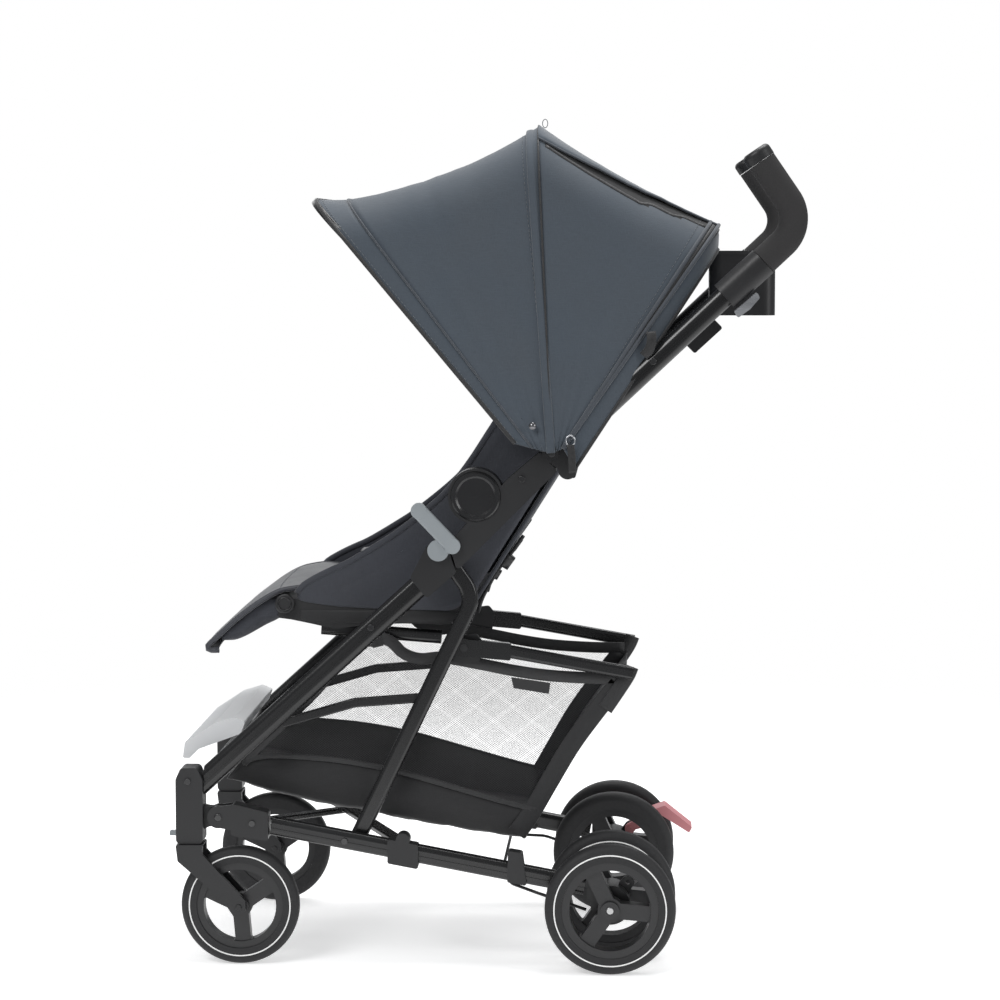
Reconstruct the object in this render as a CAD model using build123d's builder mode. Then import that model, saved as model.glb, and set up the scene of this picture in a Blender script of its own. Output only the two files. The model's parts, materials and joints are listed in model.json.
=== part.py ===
"""Umbrella stroller with twin rear wheels: frame, running gear, seat, canopy and basket.

Millimetres. +Z is up, +X points to the rear (towards the handles), +Y to the stroller's right.
The origin is on the floor, midway along and across the stroller.
"""
import os
from math import atan2, cos, degrees, hypot, radians, sin

from build123d import *

os.makedirs("parts", exist_ok=True)

# Driving dimensions
LEFT, RIGHT = -1, 1
SIDES = {"left": LEFT, "right": RIGHT}
REAR_WHEEL_R = 82.5
FRONT_WHEEL_R = 75.5
REAR_AXLE_X = 158.0
FRONT_AXLE_X = -313.5
CASTER_X = -376.0
SEAT_HALF_WIDTH = 150.0
GAP = 0.4                      # play between pieces that pass each other
BORE_PLAY = 0.05               # play of a bore on its pin

# Distances of the side-frame layers from the middle plane (inner, outer)
ARM_LAYER = (152.0, 162.0)
STRUT_LAYER = (163.0, 174.5)
RAIL_LAYER = (177.0, 193.0)
LEG_LAYER = (179.0, 197.0)
TUBE_LAYER = (180.0, 200.0)
HOUSING_LAYER = (176.0, 206.0)
CASTER_Y = 187.5

# Pivots of the side frame, as (X, Z)
RAIL_PIVOT = (-340.0, 189.3)
STRUT_FOOT = (-166.0, 157.3)
STRUT_TOP = (-59.0, 531.0)
ARM_PIVOT = (-30.0, 403.0)
HUB_CENTRE = (-12.0, 600.0)
CANOPY_PIVOT = (84.0, 655.0)
BACKREST_PIVOT = (-9.0, 477.0)
CALF_PIVOT = (-257.0, 455.0)
LATCH_PIVOT = (-59.0, 532.0)
PEDAL_PIVOT = (180.0, 108.0)
LEVER_PIVOT = (336.0, 851.0)

# Straight members, as centre-line ends (X, Z)
LEG_FOOT, LEG_TOP = (-380.0, 215.4), (-85.0, 484.7)
TUBE_FOOT, TUBE_TOP = (80.7, 645.6), (297.0, 849.0)
COLLAR_TOP = (345.0, 893.0)
GRIP_BEND, GRIP_TOP = (395.0, 940.0), (342.0, 1017.0)
CAP_TOP = (333.0, 1030.5)
RAIL_FRONT, RAIL_REAR = (-273.6, 177.1), (125.2, 103.7)
STRUT_BEND = (-16.0, 469.6)
ARM_FRONT, ARM_REAR = (10.0, 401.5), (185.0, 371.0)

# Canopy bows: (reach from the pivot, angle above the rear horizontal)
FRONT_BOW = (440.0, 134.4)
MIDDLE_BOW = (405.0, 93.0)
REAR_BOW = (346.0, 53.7)
BOW_TOP_HALF_WIDTH = 162.0
BOW_CORNER_R = 80.0


def side_plane(y):
    """Upright plane at this Y whose local axes are world X and Z; it faces the left side."""
    return Plane(origin=(0, y, 0), x_dir=(1, 0, 0), z_dir=(0, -1, 0))


def span(side, layer):
    """The layer's rightmost Y on this side, and its thickness."""
    inner, outer = layer
    return (outer if side == RIGHT else -inner), outer - inner


def along(start, end, share):
    """The point at this share of the way from start to end."""
    return tuple(a + (b - a) * share for a, b in zip(start, end))


def save(piece, name):
    piece.part.label = name
    export_step(piece.part, f"parts/{name}.step")


def plate(outline, side, layer, corner=3.0, holes=(), discs=()):
    """A plate with a rounded side-view outline, discs (x, z, r) added and holes (x, z, r) cut."""
    top, depth = span(side, layer)
    with BuildPart() as piece:
        with BuildSketch(side_plane(top)) as outline_sketch:
            with BuildLine():
                Polyline(*outline, close=True)
            make_face()
            fillet(outline_sketch.vertices(), corner)
            for x, z, r in discs:
                with Locations((x, z)):
                    Circle(r)
            for x, z, r in holes:
                with Locations((x, z)):
                    Circle(r, mode=Mode.SUBTRACT)
        extrude(amount=depth)
    return piece


def bar(start, end, side, layer, height, wall=0.0, groove=0.0):
    """A straight flat-oval bar or tube in one layer; the groove runs along its outer face."""
    inner, outer = layer
    middle = side * (inner + outer) / 2
    depth = outer - inner
    axis = Vector(end[0] - start[0], 0, end[1] - start[1])
    with BuildPart() as piece:
        origin = (start[0], middle, start[1])
        with BuildSketch(Plane(origin=origin, x_dir=(0, 1, 0), z_dir=axis)):
            RectangleRounded(depth, height, min(depth, height) / 2 - 0.2)
            if wall:
                RectangleRounded(
                    depth - 2 * wall,
                    height - 2 * wall,
                    min(depth, height) / 2 - wall - 0.2,
                    mode=Mode.SUBTRACT,
                )
            if groove:
                with Locations((side * depth / 2, 0)):
                    Rectangle(2 * groove, 3.2 * groove, mode=Mode.SUBTRACT)
        extrude(amount=axis.length)
    return piece


def pin(x, z, radius, y_start, y_end):
    """A round pin along Y with slightly domed ends."""
    length = y_end - y_start
    with BuildPart() as piece:
        with BuildSketch(side_plane(y_end)):
            with Locations((x, z)):
                Circle(radius)
        extrude(amount=length)
        fillet(piece.faces().filter_by(Axis.Y).edges(), min(radius, length) * 0.3)
    return piece


def joined(*pieces):
    """Several separate solids kept in one piece."""
    with BuildPart() as group:
        for piece in pieces:
            add(piece.part)
    return group


def both(make):
    """The left and the right copy of a piece, as two solids of one node."""
    return joined(make(LEFT), make(RIGHT))


# ---- Front legs and side housings ------------------------------------------------------------

def front_leg(side):
    leg = bar(LEG_FOOT, LEG_TOP, side, LEG_LAYER, 28.0, wall=2.6, groove=1.3)
    with BuildPart() as trimmed:
        add(leg.part)
        split(bisect_by=Plane.YZ.offset(-358.6), keep=Keep.TOP)
    return trimmed


def leg_cap(side):
    """Plastic knuckle on the leg's top end, with the lobe that carries the strut's top pin."""
    outline = [(-95, 496.5), (-74, 470.5), (-37, 503.5), (-48, 537), (-74, 537)]
    with BuildPart() as piece:
        add(plate(outline, side, (176.0, 202.0), 5.0).part)
        foot, top = (LEG_TOP[0] - 60, LEG_TOP[1] - 54.8), LEG_TOP
        add(bar(foot, top, side, (178.4, 197.6), 29.6).part, mode=Mode.SUBTRACT)
        y_top, depth = span(side, (170.0, 210.0))
        with BuildSketch(side_plane(y_top)):
            with Locations(STRUT_TOP):
                Circle(4.05)
        extrude(amount=depth, mode=Mode.SUBTRACT)
    return piece


def side_housing(side):
    """Moulded cover that joins the leg to the push tube around the round hub."""
    outline = [(-46, 541), (-35.5, 506), (90.5, 632.5), (68, 656), (28, 622)]
    housing = plate(outline, side, HOUSING_LAYER, 4.0, discs=[(*HUB_CENTRE, 35.0)])
    with BuildPart() as piece:
        add(housing.part)
        y_top, _ = span(side, (HOUSING_LAYER[1] - 3.0, HOUSING_LAYER[1]))
        with BuildSketch(side_plane(y_top)):
            with Locations(HUB_CENTRE):
                Circle(31.5)
        extrude(amount=3.0, mode=Mode.SUBTRACT)
    return piece


def hub_cover(side):
    """Round cover with a raised rim and a dished, plain middle."""
    y_in, y_out = side * 203.2, side * 209.5
    with BuildPart() as piece:
        with BuildSketch(Plane.XY):
            with BuildLine():
                Polyline((0, y_in), (31, y_in), (31, y_out - side * 2), (29, y_out),
                         (25.5, y_out), (23, y_out - side * 2), (0, y_out - side * 1.2), close=True)
            make_face()
        revolve(axis=Axis.Y, revolution_arc=360)
    cover = piece.part.moved(Location((HUB_CENTRE[0], 0, HUB_CENTRE[1])))
    with BuildPart() as placed:
        add(cover)
    return placed


def fold_latch():
    """Storage latch on the left leg: a long finger piece with a round boss."""
    start, end = (-83.0, 582.0), (-41.0, 538.0)
    with BuildPart() as piece:
        add(bar(start, end, LEFT, (206.5, 214.0), 20.0).part)
        for (x, z), r in ((LATCH_PIVOT, 13.5), (start, 10.0), (end, 10.0)):
            y_top, depth = span(LEFT, (206.5, 214.0) if r < 12 else (202.6, 210.0))
            with BuildSketch(side_plane(y_top)):
                with Locations((x, z)):
                    Circle(r)
            extrude(amount=depth)
    return piece


# ---- Push tubes and handles --------------------------------------------------------------------

def push_tube(side):
    return bar(TUBE_FOOT, TUBE_TOP, side, TUBE_LAYER, 26.0, wall=2.4, groove=1.2)


def handle_collar(side):
    return bar(along(TUBE_TOP, COLLAR_TOP, 0.006), COLLAR_TOP, side, (174.0, 206.0), 38.0)


def handle_grip(side):
    """Foam grip that bends forward over the collar."""
    start = along(COLLAR_TOP, GRIP_BEND, 0.01)
    with BuildPart() as piece:
        with BuildLine(side_plane(side * 190.0)) as path:
            FilletPolyline(start, GRIP_BEND, GRIP_TOP, radius=42)
        axis = Vector(GRIP_BEND[0] - start[0], 0, GRIP_BEND[1] - start[1])
        origin = (start[0], side * 190.0, start[1])
        with BuildSketch(Plane(origin=origin, x_dir=(0, 1, 0), z_dir=axis)):
            Ellipse(15.5, 18.0)
        sweep(path=path.wires()[0])
    return piece


def grip_cap(side):
    """Plastic end cap of the grip, with a rounded end."""
    start = along(GRIP_TOP, CAP_TOP, 0.02)
    axis = Vector(CAP_TOP[0] - start[0], 0, CAP_TOP[1] - start[1])
    origin = (start[0], side * 190.0, start[1])
    with BuildPart() as piece:
        with BuildSketch(Plane(origin=origin, x_dir=(0, 1, 0), z_dir=axis)):
            Ellipse(15.8, 18.6)
        extrude(amount=axis.length)
        fillet(piece.faces().sort_by(Axis((0, 0, 0), (axis.X, 0, axis.Z)))[-1].edges(), 6.0)
    return piece


def handle_lever(side):
    """Squeeze lever under the collar that releases the fold."""
    outline = [(309, 831), (314, 823), (329, 834), (341, 848), (337.5, 855.5)]
    return plate(outline, side, (182.0, 198.0), 2.5)


def canopy_clip(side):
    """Rounded canopy mount on the push tube, with the stud that the bows turn on."""
    outline = [(70, 668), (84, 640), (112, 622), (117, 640), (104, 668)]
    discs = [(103, 634, 12.0), (107, 668, 10.5), (*CANOPY_PIVOT, 13.0)]
    with BuildPart() as piece:
        add(plate(outline, side, (206.5, 209.5), 3.0, discs=discs).part)
        add(pin(*CANOPY_PIVOT, 4.0, *sorted((side * 209.4, side * 231.0))).part)
    return piece


def cup_holder():
    """Open rounded box with a bracket arm that clamps to the right push tube."""
    centre, width, depth, height = (328.0, 128.0), 88.0, 76.0, 86.0
    floor_z = 819.0
    with BuildPart() as piece:
        with BuildSketch(Plane.XY.offset(floor_z)):
            with Locations(centre):
                RectangleRounded(width, depth, 16)
        extrude(amount=height)
        with BuildSketch(Plane.XY.offset(floor_z + 3)):
            with Locations(centre):
                RectangleRounded(width - 6, depth - 6, 13)
        extrude(amount=height, mode=Mode.SUBTRACT)
        with BuildSketch(Plane.XY.offset(floor_z + height - 5)):
            with Locations(centre):
                RectangleRounded(width + 6, depth + 6, 18)
                RectangleRounded(width - 6, depth - 6, 13, mode=Mode.SUBTRACT)
        extrude(amount=5)
    return piece


def cup_bracket():
    """Clamp round the right push tube that carries the cup holder."""
    outline = [(246, 785), (266, 765), (304, 800), (284, 820)]
    lower = along(TUBE_FOOT, TUBE_TOP, 0.6)
    with BuildPart() as piece:
        add(plate(outline, RIGHT, (168.2, 204.0), 3.0).part)
        add(bar(lower, TUBE_TOP, RIGHT, (179.6, 200.4), 26.8).part, mode=Mode.SUBTRACT)
    return piece


# ---- Front bracket, casters and front wheels ---------------------------------------------------

def caster_housing(side):
    """Upright caster housing with the lug that the lower rail turns on."""
    outline = [(-393.5, 155.4), (-359.2, 155.4), (-359.2, 238), (-366, 253), (-387, 253), (-393.5, 238)]
    lug = [(-366, 205), (-366, 170), (-352, 176.3), (-340, 176.3), (-340, 202.3), (-352, 202.3)]
    with BuildPart() as piece:
        add(plate(outline, side, (CASTER_Y - 17, CASTER_Y + 17), 6.0).part)
        add(plate(lug, side, (182.0, 193.0), 3.0, discs=[(*RAIL_PIVOT, 13.0)]).part)
        pocket = (CASTER_Y - 30, CASTER_Y + 30)
        y_top, depth = span(side, pocket)
        with BuildSketch(side_plane(y_top)):
            with Locations(RAIL_PIVOT):
                Circle(5 + BORE_PLAY)
        extrude(amount=depth, mode=Mode.SUBTRACT)
        with BuildSketch(Plane.XY.offset(154)):
            with Locations((CASTER_X, side * CASTER_Y)):
                Circle(7 + BORE_PLAY)
        extrude(amount=62, mode=Mode.SUBTRACT)
        y_slot, slot_depth = span(side, (CASTER_Y - 4.3, CASTER_Y + 4.3))
        with BuildSketch(side_plane(y_slot)):
            with Locations((-390.0, 171.5)):
                Rectangle(16.0, 18.6)
        extrude(amount=slot_depth, mode=Mode.SUBTRACT)
    return piece


def swivel_lock(side):
    """Small grey tab at the front of the housing; lifted, it frees the caster."""
    outline = [(-403.6, 164), (-403.6, 170), (-384, 170), (-384, 164)]
    return plate(outline, side, (CASTER_Y - 4, CASTER_Y + 4), 1.5)


def caster_fork(side):
    """Trailing fork: swivel stem, bridge and two arms."""
    arm = [(-393.5, 154.9), (-359.5, 154.9), (-359.5, 143), (-305, 84), (-305, 70),
           (-319, 62), (-331, 80), (-352, 100), (-391, 134)]
    bridge = [(-393.5, 154.9), (-359.5, 154.9), (-359.5, 153), (-372, 147.5), (-391, 147.5)]
    outer, inner = (201.5, 209.0), (166.0, 173.5)
    bolt_hole = (FRONT_AXLE_X, FRONT_WHEEL_R, 4 + BORE_PLAY)
    with BuildPart() as piece:
        add(plate(arm, side, outer, 2.0, holes=[bolt_hole]).part)
        add(plate(arm, side, inner, 2.0, holes=[bolt_hole]).part)
        add(plate(bridge, side, (inner[1] - 1, outer[0] + 1), 0.6).part)
        with BuildSketch(Plane.XY.offset(154)):
            with Locations((CASTER_X, side * CASTER_Y)):
                Circle(7)
        extrude(amount=58)
    return piece


def front_axle(side):
    return pin(FRONT_AXLE_X, FRONT_WHEEL_R, 4.0, *sorted((side * 165.0, side * 211.0)))


def tyre(centre_x, radius, rim_r, side, layer):
    """Solid tyre with a rounded tread and a fine ring on both sidewalls."""
    inner, outer = layer
    low, high = sorted((side * inner, side * outer))
    round_r = (high - low) * 0.36
    with BuildPart() as piece:
        with BuildSketch(Plane.XY):
            with BuildLine():
                Polyline((rim_r, low), (radius, low), (radius, high), (rim_r, high), close=True)
            make_face()
        revolve(axis=Axis.Y, revolution_arc=360)
        outer_edges = piece.edges().filter_by(GeomType.CIRCLE).group_by(SortBy.RADIUS)[-1]
        fillet(outer_edges, round_r)
    with BuildPart() as placed:
        add(piece.part.moved(Location((centre_x, 0, radius))))
    return placed


def rim(centre_x, radius, rim_r, side, layer, hub_layer, bore_r, turn):
    """Three-spoke rim with a wide bead ring and a long hub."""
    y_top, depth = span(side, layer)
    with BuildPart() as piece:
        with BuildSketch(side_plane(y_top - 1.0)):
            Circle(rim_r - 0.1)
            Circle(rim_r * 0.84, mode=Mode.SUBTRACT)
        extrude(amount=depth - 2.0)
        with BuildSketch(side_plane(y_top - depth * 0.16)):
            Circle(15.5)
            with PolarLocations(rim_r * 0.46, 3, start_angle=turn):
                Rectangle(rim_r * 0.88, 20.0)
        extrude(amount=depth * 0.68)
        fillet(piece.edges().filter_by(Axis.Y).filter_by(lambda e: e.length < depth * 0.7), 2.0)
        hub_top, hub_depth = span(side, hub_layer)
        with BuildSketch(side_plane(hub_top)):
            Circle(11.5)
        extrude(amount=hub_depth)
        with BuildSketch(side_plane(hub_top + 5)):
            Circle(bore_r + BORE_PLAY)
        extrude(amount=hub_depth + 10, mode=Mode.SUBTRACT)
    with BuildPart() as placed:
        add(piece.part.moved(Location((centre_x, 0, radius))))
    return placed


# ---- Lower frame -------------------------------------------------------------------------------

def rail(side):
    return bar(RAIL_FRONT, RAIL_REAR, side, RAIL_LAYER, 24.5, wall=2.4, groove=1.2)


def rail_sleeve(side):
    """Clevis at the rail's front end: two cheeks around the housing's lug, then a sleeve."""
    body = [(-324, 207), (-324, 166), (-276.4, 159), (-276.4, 196)]
    cheek = [(-340, 176), (-318, 172), (-318, 206), (-340, 202.5)]
    pin_hole = (*RAIL_PIVOT, 5 + BORE_PLAY)
    with BuildPart() as piece:
        add(plate(body, side, (174.5, 200.5), 4.0).part)
        for layer in ((174.5, 182.0 - GAP), (193.0 + GAP, 200.5)):
            disc = (*RAIL_PIVOT, 14.0)
            add(plate(cheek, side, layer, 2.0, holes=[pin_hole], discs=[disc]).part)
        y_top, depth = span(side, (160.0, 220.0))
        with BuildSketch(side_plane(y_top)):
            with Locations(RAIL_PIVOT):
                Circle(5 + BORE_PLAY)
        extrude(amount=depth, mode=Mode.SUBTRACT)
    return piece


def rail_pin(side):
    return pin(*RAIL_PIVOT, 5.0, *sorted((side * 173.2, side * 202.2)))


def rail_collar(side):
    """Clamp round the rail with the boss that the cross brace bolts to."""
    rail_z = 155.1 - 0.184 * (-105.5 + 154)
    outline = [(-125, 162.5), (-125, 131.5), (-86, 124.3), (-86, 155.3)]
    with BuildPart() as piece:
        add(plate(outline, side, (175.2, 197.0), 3.0, discs=[(-105.5, rail_z + 15, 9.0)]).part)
        start, end = along(RAIL_FRONT, RAIL_REAR, 0.2), along(RAIL_FRONT, RAIL_REAR, 0.7)
        add(bar(start, end, side, (176.8, 193.2), 24.9).part, mode=Mode.SUBTRACT)
    return piece


def rear_clip(side):
    """Clip that holds the basket's rear corner on the rail."""
    outline = [(27, 108.5), (52, 104), (46, 146), (28, 149)]
    with BuildPart() as piece:
        add(plate(outline, side, (175.2, 196.0), 3.0).part)
        start, end = along(RAIL_FRONT, RAIL_REAR, 0.5), along(RAIL_FRONT, RAIL_REAR, 0.95)
        add(bar(start, end, side, (176.8, 193.2), 24.9).part, mode=Mode.SUBTRACT)
    return piece


def cross_brace(side, z_offset):
    """Flat bar under the basket, from this side's collar to the far side's front sleeve."""
    start = Vector(-113.0, side * 170.2, 156.0 + z_offset)
    end = Vector(-299.0, -side * 169.6, 188.0 + z_offset)
    with BuildPart() as piece:
        with BuildSketch(Plane(origin=start, x_dir=(0, 0, 1), z_dir=end - start)):
            RectangleRounded(7.0, 18.0, 2.0)
        extrude(amount=(end - start).length)
    return piece


def rear_housing(side):
    """Axle housing between the twin wheels, with the ears of the brake pedal."""
    outline = [(128, 88), (128, 118), (160, 104), (160, 62)]
    ear = [(158, 92), (176, 116), (187, 108), (180, 88)]
    axle_hole = (REAR_AXLE_X, REAR_WHEEL_R, 5 + BORE_PLAY)
    disc = (REAR_AXLE_X, REAR_WHEEL_R, 25.0)
    with BuildPart() as piece:
        add(plate(outline, side, (156.0, 205.0), 3.0, discs=[disc]).part)
        add(plate(ear, side, (176.0, 185.0), 3.0, discs=[(*PEDAL_PIVOT, 8.0)]).part)
        y_top, depth = span(side, (150.0, 210.0))
        with BuildSketch(side_plane(y_top)):
            with Locations((REAR_AXLE_X, REAR_WHEEL_R)):
                Circle(axle_hole[2])
            with Locations(PEDAL_PIVOT):
                Circle(3 + BORE_PLAY)
        extrude(amount=depth, mode=Mode.SUBTRACT)
    return piece


def rear_axle(side):
    return pin(REAR_AXLE_X, REAR_WHEEL_R, 5.0, *sorted((side * 119.5, side * 239.0)))


def brake_pedal():
    """Foot pedal behind the right axle housing, forked round its ear."""
    cheek = [(174, 103), (176, 114), (212, 130), (214, 114)]
    pad = [(206, 134), (209, 114), (224, 128), (262, 104), (266, 112), (228, 142)]
    with BuildPart() as piece:
        for layer in ((168.0, 176.0 - GAP), (185.0 + GAP, 193.0)):
            add(plate(cheek, RIGHT, layer, 2.0, discs=[(*PEDAL_PIVOT, 7.0)]).part)
        add(plate(pad, RIGHT, (162.0, 199.0), 2.5).part)
        y_top, depth = span(RIGHT, (160.0, 200.0))
        with BuildSketch(side_plane(y_top)):
            with Locations(PEDAL_PIVOT):
                Circle(3.0)
        extrude(amount=depth - 5.0)
    return piece


def brake_cable():
    """Cable from one axle housing to the other, under the rear clips and across the basket."""
    half = [(127, 184, 72), (62, 184, 94), (30, 160, 100), (20, 120, 118)]
    route = half + [(x, -y, z) for x, y, z in reversed(half)]
    with BuildPart() as piece:
        with BuildLine() as path:
            FilletPolyline(*route, radius=18)
        start, following = Vector(*route[0]), Vector(*route[1])
        with BuildSketch(Plane(origin=start, z_dir=following - start)):
            Circle(2.0)
        sweep(path=path.wires()[0])
    return piece


# ---- Struts, basket arms, braces ---------------------------------------------------------------

def strut(side):
    """Bent tube from the rail up to the leg's top."""
    inner, outer = STRUT_LAYER
    middle = side * (inner + outer) / 2
    with BuildPart() as piece:
        with BuildLine(side_plane(middle)) as path:
            FilletPolyline(STRUT_FOOT, STRUT_BEND, STRUT_TOP, radius=36)
        axis = Vector(STRUT_BEND[0] - STRUT_FOOT[0], 0, STRUT_BEND[1] - STRUT_FOOT[1])
        origin = (STRUT_FOOT[0], middle, STRUT_FOOT[1])
        with BuildSketch(Plane(origin=origin, x_dir=(0, 1, 0), z_dir=axis)):
            RectangleRounded(outer - inner, 21.0, 5.0)
        sweep(path=path.wires()[0])
        y_top, depth = span(side, STRUT_LAYER)
        with BuildSketch(side_plane(y_top)):
            with Locations(STRUT_FOOT, STRUT_TOP):
                Circle(10.5)
        extrude(amount=depth)
        with BuildSketch(side_plane(y_top + 5)):
            with Locations(STRUT_FOOT):
                Circle(4 + BORE_PLAY)
        extrude(amount=depth + 10, mode=Mode.SUBTRACT)
    return piece


def strut_pin(side):
    return pin(*STRUT_FOOT, 4.0, *sorted((side * 161.5, side * 176.8)))


def knuckle(side):
    """Block on the strut that the basket arm turns on."""
    outline = [(-52, 386), (-44, 416), (-14, 420), (-6, 410), (-10, 384), (-30, 380)]
    with BuildPart() as piece:
        add(plate(outline, side, (149.3, 152.0 - GAP), 5.0).part)
        y_top, depth = span(side, (150.0, 162.8))
        with BuildSketch(side_plane(y_top)):
            with Locations(ARM_PIVOT):
                Circle(5.0)
        extrude(amount=depth)
    return piece


def basket_arm(side):
    """Arm that carries the basket's rear corner, with the sleeve at its hinge."""
    with BuildPart() as piece:
        add(bar(ARM_FRONT, ARM_REAR, side, ARM_LAYER, 17.0).part)
        sleeve = [(-30, 392), (-30, 414), (30, 409), (30, 387)]
        hole = (*ARM_PIVOT, 5 + BORE_PLAY)
        disc = (*ARM_PIVOT, 12.0)
        add(plate(sleeve, side, ARM_LAYER, 3.0, discs=[disc]).part)
        y_top, depth = span(side, (145.0, 170.0))
        with BuildSketch(side_plane(y_top)):
            with Locations(ARM_PIVOT):
                Circle(hole[2])
        extrude(amount=depth, mode=Mode.SUBTRACT)
    return piece


def side_brace(side):
    """Arched flat bar from the front leg to the strut."""
    with BuildPart() as piece:
        with BuildLine(side_plane(side * 156.0)) as path:
            FilletPolyline((-262, 304), (-170, 331), (-84, 338), radius=40)
        axis = Vector(92, 0, 27)
        with BuildSketch(Plane(origin=(-262, side * 156.0, 304), x_dir=(0, 1, 0), z_dir=axis)):
            RectangleRounded(8.0, 12.0, 2.0)
        sweep(path=path.wires()[0])
    return piece


def seat_rail(side):
    """Tube under the seat, bolted through the front leg."""
    with BuildPart() as piece:
        add(bar((-214, 424), (-60, 413), side, (126.0, 138.0), 17.0).part)
        y_top, depth = span(side, (137.0, 178.8))
        with BuildSketch(side_plane(y_top)):
            with Locations((-146, 428 - 10)):
                Circle(4.0)
        extrude(amount=depth)
    return piece


def foot_bar():
    """Cross tube between the front legs."""
    with BuildPart() as piece:
        with BuildSketch(side_plane(177.8)):
            with Locations((-336, 262)):
                Circle(8.5)
                Circle(6.5, mode=Mode.SUBTRACT)
        extrude(amount=355.6)
    return piece


def footrest():
    """Moulded foot plate on the cross tube, with a rounded front lip."""
    outline = [(-393, 256), (-390, 276), (-352, 301), (-326, 309), (-312, 303),
               (-318, 288), (-346, 277.5), (-372, 268), (-384, 256)]
    with BuildPart() as piece:
        add(plate(outline, RIGHT, (-146.0, 146.0), 2.4).part)
        with BuildSketch(side_plane(146)):
            with Locations((-336, 262)):
                Circle(9.2)
        extrude(amount=292, mode=Mode.SUBTRACT)
    return piece


# ---- Soft goods --------------------------------------------------------------------------------

def seat_base():
    outline = [(-239, 438), (-238, 478), (-150, 478), (-26, 474), (-22, 438)]
    with BuildPart() as piece:
        add(plate(outline, RIGHT, (-139.0, 139.0), 10.0).part)
    return piece


def side_panel(side):
    """Fabric side of the seat, from the knee to the backrest's rear edge."""
    outline = [(-241, 450), (-239, 476), (-120, 555), (40, 652), (100, 664), (108, 652),
               (-12, 476), (-40, 437), (-200, 437), (-236, 439)]
    return plate(outline, side, (143.0, 148.5), 4.0)


def backrest():
    """Padded back panel, hinged at the seat's rear edge."""
    lean, length, thickness = radians(57.9), 430.0, 24.0
    up, forward = (cos(lean), sin(lean)), (-sin(lean), cos(lean))
    def at(run, rise):
        return tuple(p + run * u + rise * f for p, u, f in zip(BACKREST_PIVOT, up, forward))
    outline = [at(4, -5), at(4, thickness - 5), at(length, thickness - 5), at(length, -5)]
    return plate(outline, RIGHT, (-140.0, 140.0), 6.0)


def calf_rest():
    outline = [(-252, 446), (-253, 468), (-278, 474), (-300, 462), (-366, 406), (-374, 394),
               (-360, 391), (-336, 398), (-298, 418), (-266, 438)]
    return plate(outline, RIGHT, (-148.0, 148.0), 4.0)


def calf_button(side):
    return pin(CALF_PIVOT[0] - 2, CALF_PIVOT[1] + 2, 12.5, *sorted((side * 149.0, side * 155.5)))


def bow_points(bow, extra=0.0, base_half_width=208.0, bottom=0.0):
    reach, _ = bow
    top_half = BOW_TOP_HALF_WIDTH + extra
    share = bottom / reach
    low_half = base_half_width + (BOW_TOP_HALF_WIDTH - base_half_width) * share + extra
    top = reach + extra
    return [(-low_half, bottom), (-top_half, top), (top_half, top), (low_half, bottom)]


def bow_plane(angle):
    """Plane through the canopy pivot: local x is Y, local y points along the bow."""
    a = radians(angle)
    direction = Vector(cos(a), 0, sin(a))
    z_dir = Vector(0, 1, 0).cross(direction)
    return Plane(origin=(CANOPY_PIVOT[0], 0, CANOPY_PIVOT[1]), x_dir=(0, 1, 0), z_dir=z_dir)


def canopy_bow(bow, half_width):
    """Flat plastic hoop with an eye at each end, turning on the canopy studs."""
    points = bow_points(bow, base_half_width=half_width)
    plane = bow_plane(bow[1])
    with BuildPart() as piece:
        with BuildLine(plane) as path:
            FilletPolyline(*points, radius=BOW_CORNER_R)
        start = plane.from_local_coords(Vector(*points[0]))
        following = plane.from_local_coords(Vector(*points[1]))
        with BuildSketch(Plane(origin=start, x_dir=plane.z_dir, z_dir=following - start)):
            RectangleRounded(9.0, 4.0, 1.5)
        sweep(path=path.wires()[0])
        for side in SIDES.values():
            y_top, depth = span(side, (half_width - 2.2, half_width + 2.2))
            with BuildSketch(side_plane(y_top)):
                with Locations(CANOPY_PIVOT):
                    Circle(8.5)
            extrude(amount=depth)
        with BuildSketch(side_plane(240)):
            with Locations(CANOPY_PIVOT):
                Circle(4 + BORE_PLAY)
        extrude(amount=480, mode=Mode.SUBTRACT)
    return piece


def hood_section(bow, shift, extra, bottom):
    """Closed arch section of the hood, beside this bow by the shift towards the rear."""
    points = bow_points(bow, extra, 215.0, bottom)
    with BuildSketch(bow_plane(bow[1]).offset(shift)) as section:
        with BuildLine():
            FilletPolyline(*points, radius=BOW_CORNER_R + extra)
            Line(points[0], points[3])
        make_face()
    return section.sketch


def canopy_gore(front, rear, bottom=62.0, step=5.2):
    """Fabric panel between two bows: an arched shell, open below."""
    with BuildPart() as piece:
        for extra, mode in ((3.0, Mode.ADD), (0.6, Mode.SUBTRACT)):
            low = bottom if mode == Mode.ADD else bottom - 30
            margin = step if mode == Mode.ADD else step - 2.0
            sections = [
                hood_section(front, margin, extra, low),
                hood_section(rear, -margin, extra, low),
            ]
            loft(sections=sections, ruled=True, mode=mode)
    return piece


def basket():
    """Open-topped cloth basket slung between the side frames."""
    outer = [(-322, 224), (48, 153), (176, 350), (-60, 371), (-150, 384), (-296, 258)]
    inner = [(-310, 226.5), (46, 158), (181, 365), (-60, 390), (-154, 398), (-290, 256)]
    with BuildPart() as piece:
        add(plate(outer, RIGHT, (-148.0, 148.0), 4.0).part)
        add(plate(inner, RIGHT, (-144.5, 144.5), 3.0).part, mode=Mode.SUBTRACT)
    return piece


def harness_buckle():
    """Crotch strap buckle standing on the seat."""
    return plate([(-172, 478.4), (-176, 512), (-156, 515), (-150, 478.4)], RIGHT, (-22.0, 22.0), 3.0)


def rivet(x, z, side, layer, radius=4.2):
    """Screw head: a low dome against an outer face."""
    y_from, y_to = side * layer[0], side * layer[1]
    return pin(x, z, radius, *sorted((y_from, y_to)))


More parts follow.
